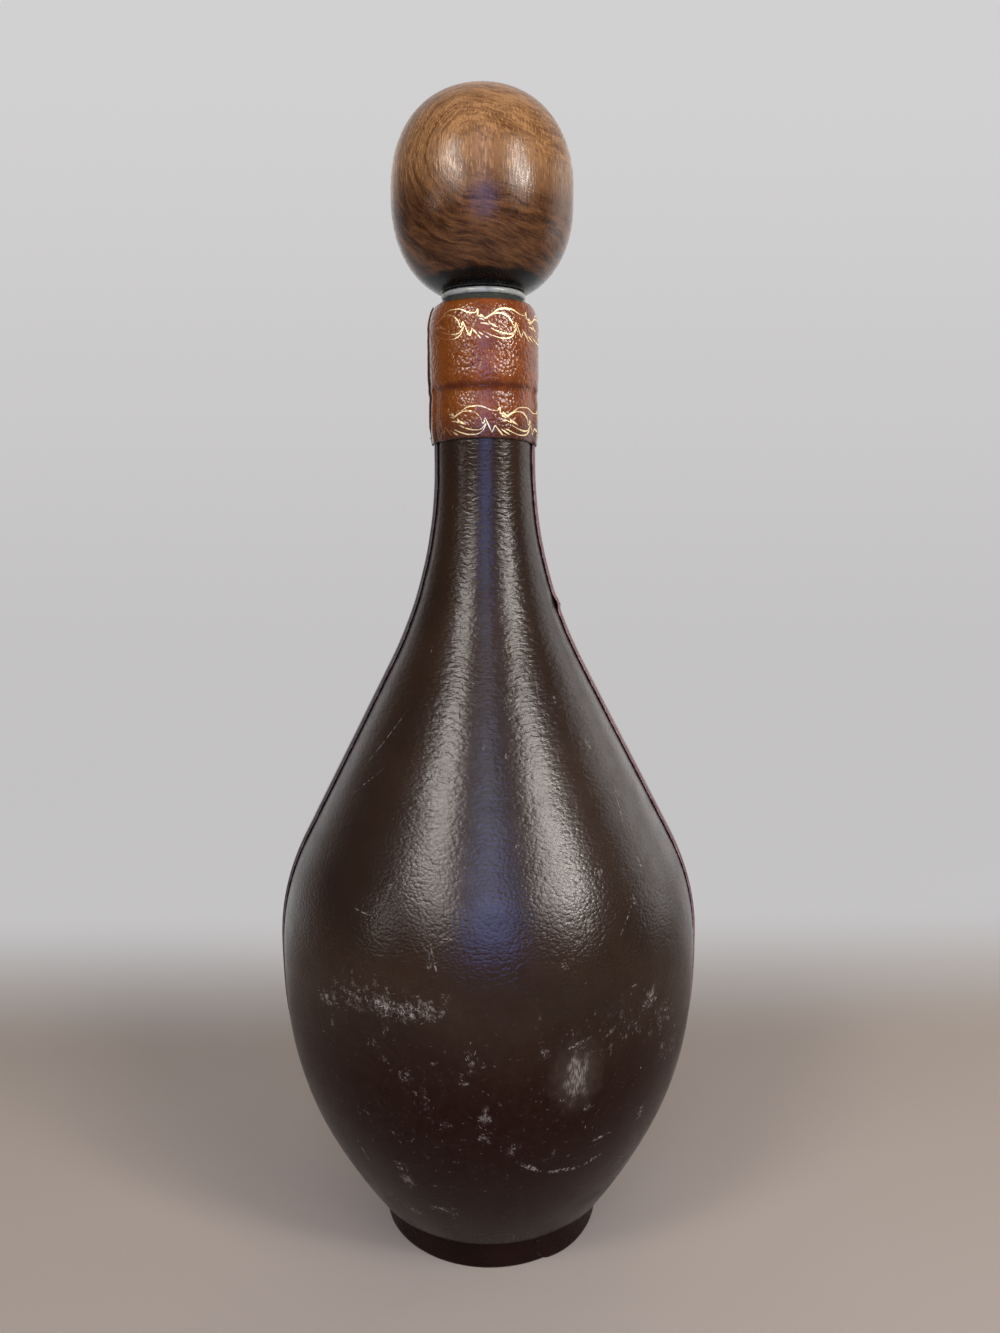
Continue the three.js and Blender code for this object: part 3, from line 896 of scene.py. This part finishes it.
panel_line = Outline(np.vstack([body_points(), [[NECK_RADIUS, panel_top]]]))
panel_runs = crowded(panel_line.length, spacing=1.3)
WAVE_SIZE = 16.0
WAVE_DEPTH = 0.09
FRONT_WAVES = (74, 62)
REAR_WAVES = (100, 115)
SEAM_WANDER = 0.45
SEAM_NIBBLES = 0.25


def scuff_strength(angles, heights):
    """How scuffed the front panel is at each vertex."""
    total = np.zeros(angles.shape)
    for angle, height, half_width, half_height, strength in SCUFFS:
        distance = np.hypot((angles - angle) / half_width, (heights - height) / half_height)
        total = np.maximum(total, strength * ease(distance, 1.4, 0.2))
    return total


def front_panel():
    runs = panel_runs
    angles = np.linspace(-PANEL_REACH, PANEL_REACH, 181)[:, None] + np.zeros(len(runs))
    rest = panel_line.skin(runs, angles, 0.0)
    waves = ease(np.abs(angles), *FRONT_WAVES)
    stand_off = GLUE_LINE + WAVE_DEPTH * waves * (1 + ripple(rest, WAVE_SIZE, 1))
    gap = edge_gap(panel_line, runs, angles, runs)
    mesh = wrapped("front_panel_mesh", panel_line, runs, angles, stand_off, PANEL_LEATHER, gap, rounding=0.6)
    scuffs = scuff_strength(angles, rest[..., 2])
    add_numbers(mesh, "scuff", np.tile(scuffs.reshape(-1), 2))
    edge = raw_edge("dark_panel_edge", (0.06, 0.035, 0.025), (0.012, 0.007, 0.005))
    add_piece("front_panel_leather", mesh, "bottle", [front_leather(), edge], "front_panel")


def seam_angles(runs, seed):
    """How far from the front the rear panel's cut edge lies, with a hand-cut wander."""
    (radius, height), _ = panel_line.at(runs)
    lap = np.interp(height, [belly_height, panel_top], [LAP_AT_BELLY, LAP_AT_NECK])
    line = on_axis(runs, 2)
    wander = SEAM_WANDER * ripple(line, 9.0, seed) + SEAM_NIBBLES * ripple(line, 1.7, seed + 1)
    return PANEL_REACH - lap + np.degrees(wander / radius)


FRAY_HEIGHT = 184.5
FRAY_REACH = 2.6
FRAY_LIFT = 0.55


def rear_panel():
    runs = panel_runs
    right = seam_angles(runs, 3)
    left = 360 - seam_angles(runs, 6)
    share = crowded(1.0, 1 / 150, 0.006)[:, None]
    angles = right + (left - right) * share
    from_front = np.minimum(angles, 360 - angles)
    down = ease(from_front, PANEL_REACH + LAP_CLEAR, PANEL_REACH + LAP_RAMP)
    rest = panel_line.skin(runs, angles, 0.0)
    waves = ease(from_front, *REAR_WAVES)
    stand_off = panel_lift + (GLUE_LINE - panel_lift) * down
    stand_off = stand_off + WAVE_DEPTH * waves * (1 + ripple(rest, WAVE_SIZE, 9))
    torn = ease(np.abs(rest[..., 2] - FRAY_HEIGHT), FRAY_REACH, 0)
    torn = torn * ease(angles, PANEL_REACH, right)
    stand_off = stand_off + torn * (FRAY_LIFT + 0.5 * ripple(rest, 0.8, 11))
    gap = edge_gap(panel_line, runs, angles, runs)
    mesh = wrapped("rear_panel_mesh", panel_line, runs, angles, stand_off, PANEL_LEATHER, gap)
    edge = raw_edge("raw_panel_edge", (0.38, 0.26, 0.255), (0.1, 0.06, 0.06), True)
    add_piece("rear_panel_leather", mesh, "bottle", [rear_leather(), edge], "rear_panel")


COLLAR_SPARE = 3.0
LAP_RISES = (66, 75)
LAP_FALLS = (106, 97)
LOOSE_MIDDLE = 0.25
LOOSE_TOP = 0.2


def collar_outline():
    """The collar hugs the panels, sags into the groove under the bead and folds in over the lip."""
    hugging = NECK_RADIUS + GLUE_LINE + PANEL_LEATHER
    points = [
        (hugging, collar_low[2] - COLLAR_SPARE),
        (hugging, panel_top - 0.5),
        (hugging - 0.3, bead_bottom - 1.8),
        (bead_radius - 0.35, bead_bottom + 0.4),
        (bead_radius, bead_bottom + 1.6),
    ]
    return Outline(np.vstack([points, lip_points(COLLAR_FOLD, 12)]), 0.3, softening=12)


collar_line = collar_outline()
collar_end = COLLAR_START + 360 + COLLAR_LAP
collar_foot = collar_line.run_at(collar_low[2])
collar_rise = collar_line.length - collar_foot


def collar_lift(angles, runs):
    """Distance of the collar's inside from its outline: over the panels' laps and its own start."""
    (_, height), _ = collar_line.at(runs)
    side = np.abs((angles + 180) % 360 - 180)
    over_lap = ease(side, *LAP_RISES) * ease(side, *LAP_FALLS)
    low_down = ease(height, bead_bottom + 1.6, bead_bottom - 1.0)
    lap_start = COLLAR_START + 360
    lifted = ease(angles, lap_start - LAP_RAMP, lap_start - LAP_CLEAR)
    peeling = ease(angles, lap_start + 8, collar_end)
    share = np.clip((runs - collar_foot) / collar_rise, 0, 1)
    loose = LOOSE_MIDDLE * np.sin(np.pi * np.clip(share / 0.85, 0, 1)) ** 2
    loose = loose + LOOSE_TOP * ease(share, 0.9, 1.0)
    place = collar_line.skin(runs, angles, 0.0)
    hand = 0.06 * (1 + ripple(place, 7.0, 12)) + 0.03 * (1 + ripple(place, 2.5, 13))
    rise = (0.9 * COLLAR_LEATHER + 0.04) * lifted + loose * peeling
    return GLUE_LINE + hand + PANEL_LEATHER * over_lap * low_down + rise


def collar_thickness(angles, runs):
    """The collar's leather, pared thinner towards its edges and where it laps."""
    share = 1 - 0.4 * ease(runs - collar_foot, 3.5, -1.0)
    share = share - 0.35 * ease(runs, collar_line.length - 1.6, collar_line.length)
    under = ease(angles, COLLAR_START + COLLAR_LAP + 12, COLLAR_START + COLLAR_LAP)
    over = ease(angles, collar_end - 14, collar_end)
    return COLLAR_LEATHER * np.maximum(share - 0.1 * under - 0.7 * over, 0.2)


def collar_droop(angles):
    """How far the hand-cut lower edge hangs below its place at the front."""
    turn = angles % 360
    return np.interp(turn, [0, 40, 70, 90, 180, 270, 320, 360], [0, 0.2, 0.9, 1.4, 1.2, 0.7, 0.1, 0])


def neck_collar():
    rows = crowded(collar_rise, spacing=0.5)
    angles = COLLAR_START + np.degrees(crowded(math.radians(collar_end - COLLAR_START), 0.03, 0.04))
    angles = angles[:, None] + np.zeros(len(rows))
    turn_points = on_axis(angles / 4, 0)
    row_points = on_axis(angles * 0 + rows, 2)
    past_start = np.maximum(angles - COLLAR_START - 360, 0)
    cut_back = 0.2 + 0.5 * ease(rows, 8.5, 2.0) + 0.05 * ripple(row_points, 1.6, 17)
    angles = angles - past_start * np.maximum(cut_back, 0)
    droop = collar_droop(angles) + 0.12 * ripple(turn_points, 1.0, 15)
    runs = collar_foot + rows - droop * ease(rows, 7.0, 0.0)
    stand_off = collar_lift(angles, runs)
    gap = edge_gap(collar_line, runs, angles, rows)
    thickness = collar_thickness(angles, runs)
    mesh = wrapped("neck_collar_mesh", collar_line, runs, angles, stand_off, thickness, gap, rounding=0.4)
    edge = raw_edge("dark_collar_edge", (0.06, 0.026, 0.016), (0.016, 0.008, 0.006))
    add_piece("collar_leather", mesh, "bottle", [collar_leather(), edge], "neck_collar")


# One repeat of the leaf scroll as strokes of (distance round, height) from the middle of its leaf
LEAF_PERIOD = 14.5
LEAF_STROKES = [
    [(-4.7, 1.3), (-2.7, 2.4), (-0.7, 3.7), (1.9, 4.0), (3.5, 3.8), (5.6, 2.9), (7.5, 2.7)],
    [(7.5, 2.7), (8.1, 3.8)],
    [(8.1, 3.8), (8.2, 1.9)],
    [(8.2, 1.9), (9.0, 1.9), (9.7, 1.7)],
    [(-5.6, 2.4), (-4.3, 1.1)],
    [(-4.3, 1.2), (-2.3, 2.4), (-0.3, 2.7), (1.4, 2.2), (2.8, 0.9), (3.3, -0.6)],
    [(3.3, -0.6), (3.8, -0.7)],
    [(3.8, -0.7), (4.1, 0.8)],
    [(4.1, 0.8), (5.9, -3.2)],
    [(5.9, -3.2), (6.7, -1.3)],
    [(6.7, -1.3), (8.9, -3.9)],
    [(-3.6, 0.7), (-2.8, -0.2), (-1.7, -0.8)],
    [(-2.9, -1.2), (-1.0, -2.0), (1.3, -2.5), (3.1, -2.2), (4.4, -0.6)],
    [(-4.7, -2.2), (-2.3, -3.2), (-0.3, -3.7), (1.9, -3.6), (3.4, -2.7), (4.4, -0.9)],
    [(8.4, -2.3), (11.0, -3.8)],
    [(8.5, 1.3), (9.2, 1.2), (9.9, 0.8)],
    [(9.0, 0.1), (10.2, 0.0), (11.4, -0.4)],
    [(11.0, 0.1), (12.3, -0.3), (13.4, -1.0)],
]
FOIL_WIDTH = 0.32
FOIL_PROUD = 0.03
FOIL_SUNK = 0.06
FOIL_STEP = 0.16
FOIL_START = COLLAR_START + COLLAR_LAP + 2
FOIL_END = collar_end - 9
LEAF_REPEATS = range(-2, 7)
LEAF_SQUASH = 0.95


def flowing(points):
    """Close points along a smooth curve through a stroke's points."""
    points = np.array(points, float)
    padded = np.vstack([2 * points[0] - points[1], points, 2 * points[-1] - points[-2]])
    curve = []
    for a, b, c, d in zip(padded, padded[1:], padded[2:], padded[3:]):
        count = max(int(np.linalg.norm(c - b) / FOIL_STEP), 2)
        t = np.linspace(0, 1, count, endpoint=False)[:, None]
        bend = (2 * b) + (c - a) * t + (2 * a - 5 * b + 4 * c - d) * t ** 2 + (3 * b - a - 3 * c + d) * t ** 3
        curve.append(bend / 2)
    return np.vstack([*curve, points[-1:]])


def foil_ribbon(stroke, first_angle, middle_run, radius, chance):
    """The corners of one thin closed ribbon of foil on the collar, four for each step."""
    line = flowing(stroke) * (1.0, LEAF_SQUASH)
    along = np.gradient(line, axis=0)
    along /= np.linalg.norm(along, axis=1)[:, None]
    side = np.stack([-along[:, 1], along[:, 0]], axis=1)
    t = np.linspace(0, 1, len(line))
    swell = 0.4 + 0.6 * np.sin(np.pi * t) ** 0.6
    uneven = 1 + 0.3 * np.sin(t * chance.uniform(5, 11) + chance.uniform(0, 6))
    width = FOIL_WIDTH * swell * uneven * chance.uniform(0.75, 1.2)
    corners = []
    for share, level in ((-0.5, -FOIL_SUNK), (0.5, -FOIL_SUNK), (0.5, FOIL_PROUD), (-0.5, FOIL_PROUD)):
        flat = line + side * (width * share)[:, None]
        angles = first_angle + np.degrees(flat[:, 0] / radius)
        runs = middle_run + flat[:, 1]
        stand_off = collar_lift(angles, runs) + collar_thickness(angles, runs) + level
        corners.append(collar_line.skin(runs, angles, stand_off))
    return np.stack(corners, axis=1), angles


def foil_border(name, height, leaf_angle, seed, foil):
    """A border of leaf scrolls pressed round the collar, cut off at the collar's two ends."""
    chance = random.Random(seed)
    middle_run = collar_line.run_at(height)
    radius = collar_line.at(middle_run)[0][0] + GLUE_LINE + COLLAR_LEATHER
    period = math.degrees(LEAF_PERIOD / radius)
    points = []
    faces = []
    for repeat in LEAF_REPEATS:
        for stroke in LEAF_STROKES:
            first_angle = leaf_angle + repeat * period
            corners, angles = foil_ribbon(stroke, first_angle, middle_run, radius, chance)
            if angles.min() < FOIL_START or angles.max() > FOIL_END:
                continue
            first = sum(len(part) for part in points)
            index = first + np.arange(len(corners) * 4).reshape(-1, 4)
            points.append(corners.reshape(-1, 3))
            faces += grid_faces(np.concatenate([index, index[:, :1]], axis=1))
            faces += [index[0].tolist(), index[-1, ::-1].tolist()]
    mesh = mesh_from(name + "_mesh", np.vstack(points), faces)
    add_piece(name, mesh, "bottle", [foil])


BAND_FADE = 45.0
BAND_CLEAR = 0.05
BAND_PARED = 16.0


def foot_band():
    outline = Outline([(FOOT_RADIUS, band_low[2]), (FOOT_RADIUS, band_high[2])], 0.4)
    middle = outline.length / 2
    round_angle = math.degrees(middle / FOOT_RADIUS)
    under_end = BAND_START + round_angle + BAND_LAP
    bend = 1 - np.cos(np.radians(np.linspace(6, 90, 14)))
    tail = round_angle + np.degrees(crowded(math.radians(360 + BAND_LAP), 0.03, 0.02))[1:]
    from_end = np.concatenate([bend * round_angle, tail])
    narrow = np.sqrt(1 - (1 - np.clip(from_end / round_angle, 0, 1)) ** 2)[:, None]
    rows = crowded(outline.length, spacing=0.8)
    runs = middle + (rows - middle) * narrow
    angles = BAND_START + from_end[:, None] + np.zeros(len(rows))
    down = ease(angles, under_end + LAP_CLEAR, under_end + BAND_FADE)
    rest = outline.skin(runs, angles, 0.0)
    lifted = GLUE_LINE + BAND_LEATHER + BAND_CLEAR
    stand_off = lifted + (GLUE_LINE - lifted) * down + 0.03 * ripple(rest, 5.0, 21)
    along = np.minimum(runs - runs[:, :1], runs[:, -1:] - runs)
    across = np.radians(from_end)[:, None] * FOOT_RADIUS
    gap = np.minimum(along, np.maximum(across - 0.02, 0))
    pared = BAND_LEATHER * (0.35 + 0.65 * ease(from_end, 0.0, BAND_PARED)[:, None])
    mesh = wrapped("foot_band_mesh", outline, runs, angles, stand_off, pared, gap, rounding=0.5, wear=0.6)
    edge = raw_edge("dark_band_edge", (0.09, 0.05, 0.03), (0.02, 0.011, 0.008))
    add_piece("foot_band_leather", mesh, "bottle", [band_leather(), edge], "foot_band")


def base_disc():
    rings = np.linspace(0, FOOT_RADIUS - 1, 24)
    under = np.stack([rings, np.full(24, base_low[2])], axis=1)
    rim = rounded([
        (FOOT_RADIUS - 1, base_low[2]), (FOOT_RADIUS, base_low[2]), (FOOT_RADIUS, base_high[2]),
        (FOOT_RADIUS - 1, base_high[2]),
    ], 0.4)
    profile = np.vstack([under[:-1], rim, [(0, base_high[2])]])
    mesh = turned("base_disc_mesh", profile, segments=96)
    add_piece("base_leather", mesh, "bottle", [base_leather()], "base_disc")


# Pieces of the stopper

def stopper_ring():
    outer = ring_high[0]
    bottom = ring_low[2]
    top = ring_high[2]
    middle = (bottom + top) / 2
    profile = rounded([
        (DOWEL_HOLE, middle), (DOWEL_HOLE, bottom), (outer, bottom),
        (outer, top), (DOWEL_HOLE, top), (DOWEL_HOLE, middle),
    ], 0.8)
    mesh = turned("stopper_ring_mesh", profile, segments=128)
    add_piece("stopper_ring_plastic", mesh, "ring", [ring_plastic()], "stopper_ring")


def stopper_ball():
    """A ball a little squarer than an ellipse, with a flat on its right side."""
    seat = ball_low[2]
    seat_radius = ring_high[0] + BALL_OVERHANG
    seat_share = (1 - (seat_radius / ball_radius) ** BALL_FULLNESS) ** (1 / BALL_FULLNESS)
    half_height = (ball_high[2] - seat) / (1 + seat_share)
    seat_turn = -math.degrees(math.acos((seat_radius / ball_radius) ** (BALL_FULLNESS / 2)))
    share = reshaped(arc((0, 0), (1, 1), seat_turn, 90, 140), BALL_FULLNESS)
    share[-1, 0] = 0
    skin = share * (ball_radius, half_height) + (0, ball_high[2] - half_height)
    seat_edge = rounded([(DOWEL_HOLE, seat), (seat_radius, seat), tuple(skin[3])], 0.5)
    hole = [(0, seat + DOWEL_IN_BALL), (DOWEL_HOLE, seat + DOWEL_IN_BALL)]
    mesh = turned("stopper_ball_mesh", np.vstack([hole, seat_edge, skin[4:]]), segments=160)
    flatten(mesh, ball_high[0], softness=0.3)
    add_piece("stopper_ball_wood", mesh, "stopper", [ball_wood()], "stopper_ball")


def flatten(mesh, level, softness):
    """Presses what lies past a level along X onto it, with a soft edge."""
    for vertex in mesh.vertices:
        x = vertex.co.x / MM
        gap = max(softness - abs(x - level), 0) / softness
        vertex.co.x = (min(x, level) - gap * gap * softness / 4) * MM


CORK_TAPER = 0.7


def cork_plug():
    top = cork_high[2]
    bottom = cork_low[2]
    radius = cork_high[0]
    foot = radius - CORK_TAPER
    sides = np.stack([np.linspace(foot, radius, 24), np.linspace(bottom + 1.2, top - 0.6, 24)], axis=1)
    profile = np.vstack([
        [(0, bottom)], rounded([(foot - 2.5, bottom), (foot, bottom), tuple(sides[1])], 1.0), sides[2:-1],
        rounded([tuple(sides[-1]), (radius, top), (radius - 1.5, top)], 0.5), [(DOWEL_HOLE, top)],
        [(DOWEL_HOLE, top - DOWEL_IN_CORK), (0, top - DOWEL_IN_CORK)],
    ])
    mesh = turned("cork_plug_mesh", profile, segments=96)
    add_piece("cork_plug_cork", mesh, "stopper", [pressed_cork()], "cork_plug")


# Stage, light and camera

FLOOR_FRONT = -1600.0
FLOOR_BEND = 250.0
WALL_PLACE = 520.0
WALL_TOP = 1500.0
STAGE_HALF_WIDTH = 1500.0
BACKDROP_FROM = 80.0
BACKDROP_FULL = 230.0
MIRROR_FADE = (-1000.0, -420.0)


def stage():
    """A pale floor that sweeps into a backdrop, which shows its own pale colour and lights nothing matt."""
    bend = arc((WALL_PLACE - FLOOR_BEND, FLOOR_BEND), (FLOOR_BEND, FLOOR_BEND), -90, 0, 24)
    line = np.vstack([[(FLOOR_FRONT, 0)], bend, [(WALL_PLACE, WALL_TOP)]])
    points = np.array([(x, y, z) for x in (-STAGE_HALF_WIDTH, STAGE_HALF_WIDTH) for y, z in line])
    index = np.arange(len(points)).reshape(2, -1)
    mesh = mesh_from("studio_sweep_mesh", points, grid_faces(index))
    floor = bpy.data.objects.new("studio_sweep", mesh)
    scene.collection.objects.link(floor)
    sweep = Recipe("pale_studio_sweep")
    sideways, back, height = sweep.place.split()
    mottle = sweep.place.noise(60.0, 3.0).span(0.3, 0.7, 0.0, 0.06)
    color = mottle.mix((0.4, 0.345, 0.295), (0.33, 0.285, 0.245))
    mirrored = sweep.ray("Is Glossy Ray") * sideways.span(*MIRROR_FADE, 0.2, 1.0)
    seen = sweep.ray("Is Camera Ray").most(mirrored).most(sweep.ray("Is Transmission Ray"))
    wall = back.span(BACKDROP_FROM, BACKDROP_FULL) * seen
    pale = height.span(0.0, 600.0).mix((0.54, 0.53, 0.535), (0.64, 0.63, 0.635))
    color = wall.mix(color, (0.0, 0.0, 0.0))
    mesh.materials.append(sweep.finish(
        Base_Color=color, Roughness=0.9, Specular_IOR_Level=0.2, Emission_Color=pale, Emission_Strength=wall,
    ))


AIM = Vector((0, 0, 0.17))


def softbox(name, azimuth, elevation, distance, size, radiance, color):
    """A rectangular lamp at an angle round and above the decanter, facing it."""
    lamp = bpy.data.lights.new(name, "AREA")
    lamp.shape = "RECTANGLE"
    lamp.size, lamp.size_y = size
    lamp.energy = radiance * math.pi * size[0] * size[1]
    lamp.color = color
    holder = bpy.data.objects.new(name, lamp)
    turn = math.radians(azimuth)
    rise = math.radians(elevation)
    away = Vector((math.sin(turn) * math.cos(rise), -math.cos(turn) * math.cos(rise), math.sin(rise)))
    holder.location = AIM + away * distance
    holder.rotation_euler = (-away).to_track_quat("-Z", "Y").to_euler()
    holder.visible_camera = False
    scene.collection.objects.link(holder)


WARM = (1.0, 0.95, 0.9)
COOL = (0.25, 0.39, 1.0)
PALE_BLUE = (0.7, 0.78, 1.0)
PLAIN = (1.0, 0.98, 0.97)
AIR_LIGHT = 0.1
AIR_SEEN = 0.6

# Lamps as name, azimuth, elevation, distance, size in metres, radiance and colour
LAMPS = [
    ("left_low", -28, 20, 1.0, (0.24, 0.27), 6.2, WARM),
    ("left_middle", -36, 35, 0.6, (0.14, 0.2), 13.8, WARM),
    ("left_pane", -47, 30, 1.0, (0.17, 0.17), 10.5, WARM),
    ("left_strip", -58, 9, 1.0, (0.07, 0.2), 9.0, WARM),
    ("right_low", 36, 21.5, 1.0, (0.18, 0.28), 7.2, WARM),
    ("right_middle", 43.5, 34, 0.6, (0.13, 0.2), 15.0, WARM),
    ("right_pane", 52, 21.5, 1.0, (0.15, 0.13), 44.0, WARM),
    ("right_strip", 47, 10, 1.0, (0.05, 0.18), 18.0, WARM),
    ("cool_front", 1.5, 11.5, 0.45, (0.2, 0.22), 4.2, COOL),
    ("cool_above", 0, 36, 0.8, (0.2, 0.44), 2.8, PALE_BLUE),
    ("right_side", 112, 8, 1.0, (0.7, 0.8), 1.3, PLAIN),
    ("back_fill", 168, 8, 0.46, (0.9, 0.6), 0.42, PLAIN),
    ("overhead", 0, 88, 1.0, (0.9, 0.9), 0.22, PLAIN),
]


def lights():
    """Two groups of warm windows in front, cool ones between them, plain fill round about, and air."""
    for lamp in LAMPS:
        softbox(*lamp)
    world = bpy.data.worlds.new("studio_air")
    world.use_nodes = True
    tree = world.node_tree
    seen = Value(tree, add_node(tree, "ShaderNodeLightPath", {}).outputs["Is Camera Ray"])
    strength = seen.node("ShaderNodeMapRange", {"Value": seen, "To Min": AIR_LIGHT, "To Max": AIR_SEEN})
    air = tree.nodes["Background"].inputs
    put(tree, air["Strength"], strength)
    put(tree, air["Color"], (0.97, 0.97, 1.0))
    scene.world = world


# The camera that fits the photograph's frame of 1000 by 1333
FOCAL_LENGTH = 27.0
SENSOR = 36.0
EYE = Vector((0.0, -284.8, 209.0)) * MM
PITCH = math.radians(-8.53)
YAW = math.radians(0.77)
ROLL = math.radians(-0.40)


def camera():
    data = bpy.data.cameras.new("photo_camera")
    data.lens = FOCAL_LENGTH
    data.sensor_width = SENSOR
    data.clip_start = 0.01
    forward = Vector((math.sin(YAW) * math.cos(PITCH), math.cos(YAW) * math.cos(PITCH), math.sin(PITCH)))
    level = forward.cross(Vector((0, 0, 1))).normalized()
    above = level.cross(forward)
    right = math.cos(ROLL) * level + math.sin(ROLL) * above
    up = math.cos(ROLL) * above - math.sin(ROLL) * level
    eye = bpy.data.objects.new("photo_camera", data)
    eye.matrix_world = Matrix.Translation(EYE) @ Matrix((right, up, -forward)).transposed().to_4x4()
    scene.collection.objects.link(eye)
    scene.camera = eye


LOWER_BORDER = 234.1
UPPER_BORDER = 258.6

camera()
stage()
lights()
glass_bottle()
front_panel()
rear_panel()
neck_collar()
gold = gold_foil()
foil_border("lower_gold_border", LOWER_BORDER, -16.0, 31, gold)
foil_border("upper_gold_border", UPPER_BORDER, 18.5, 32, gold)
foot_band()
base_disc()
stopper_ring()
stopper_ball()
cork_plug()
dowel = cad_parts["stopper_dowel"]
dowel.data.materials.clear()
dowel.data.materials.append(dowel_wood())

scene.view_settings.view_transform = "Standard"
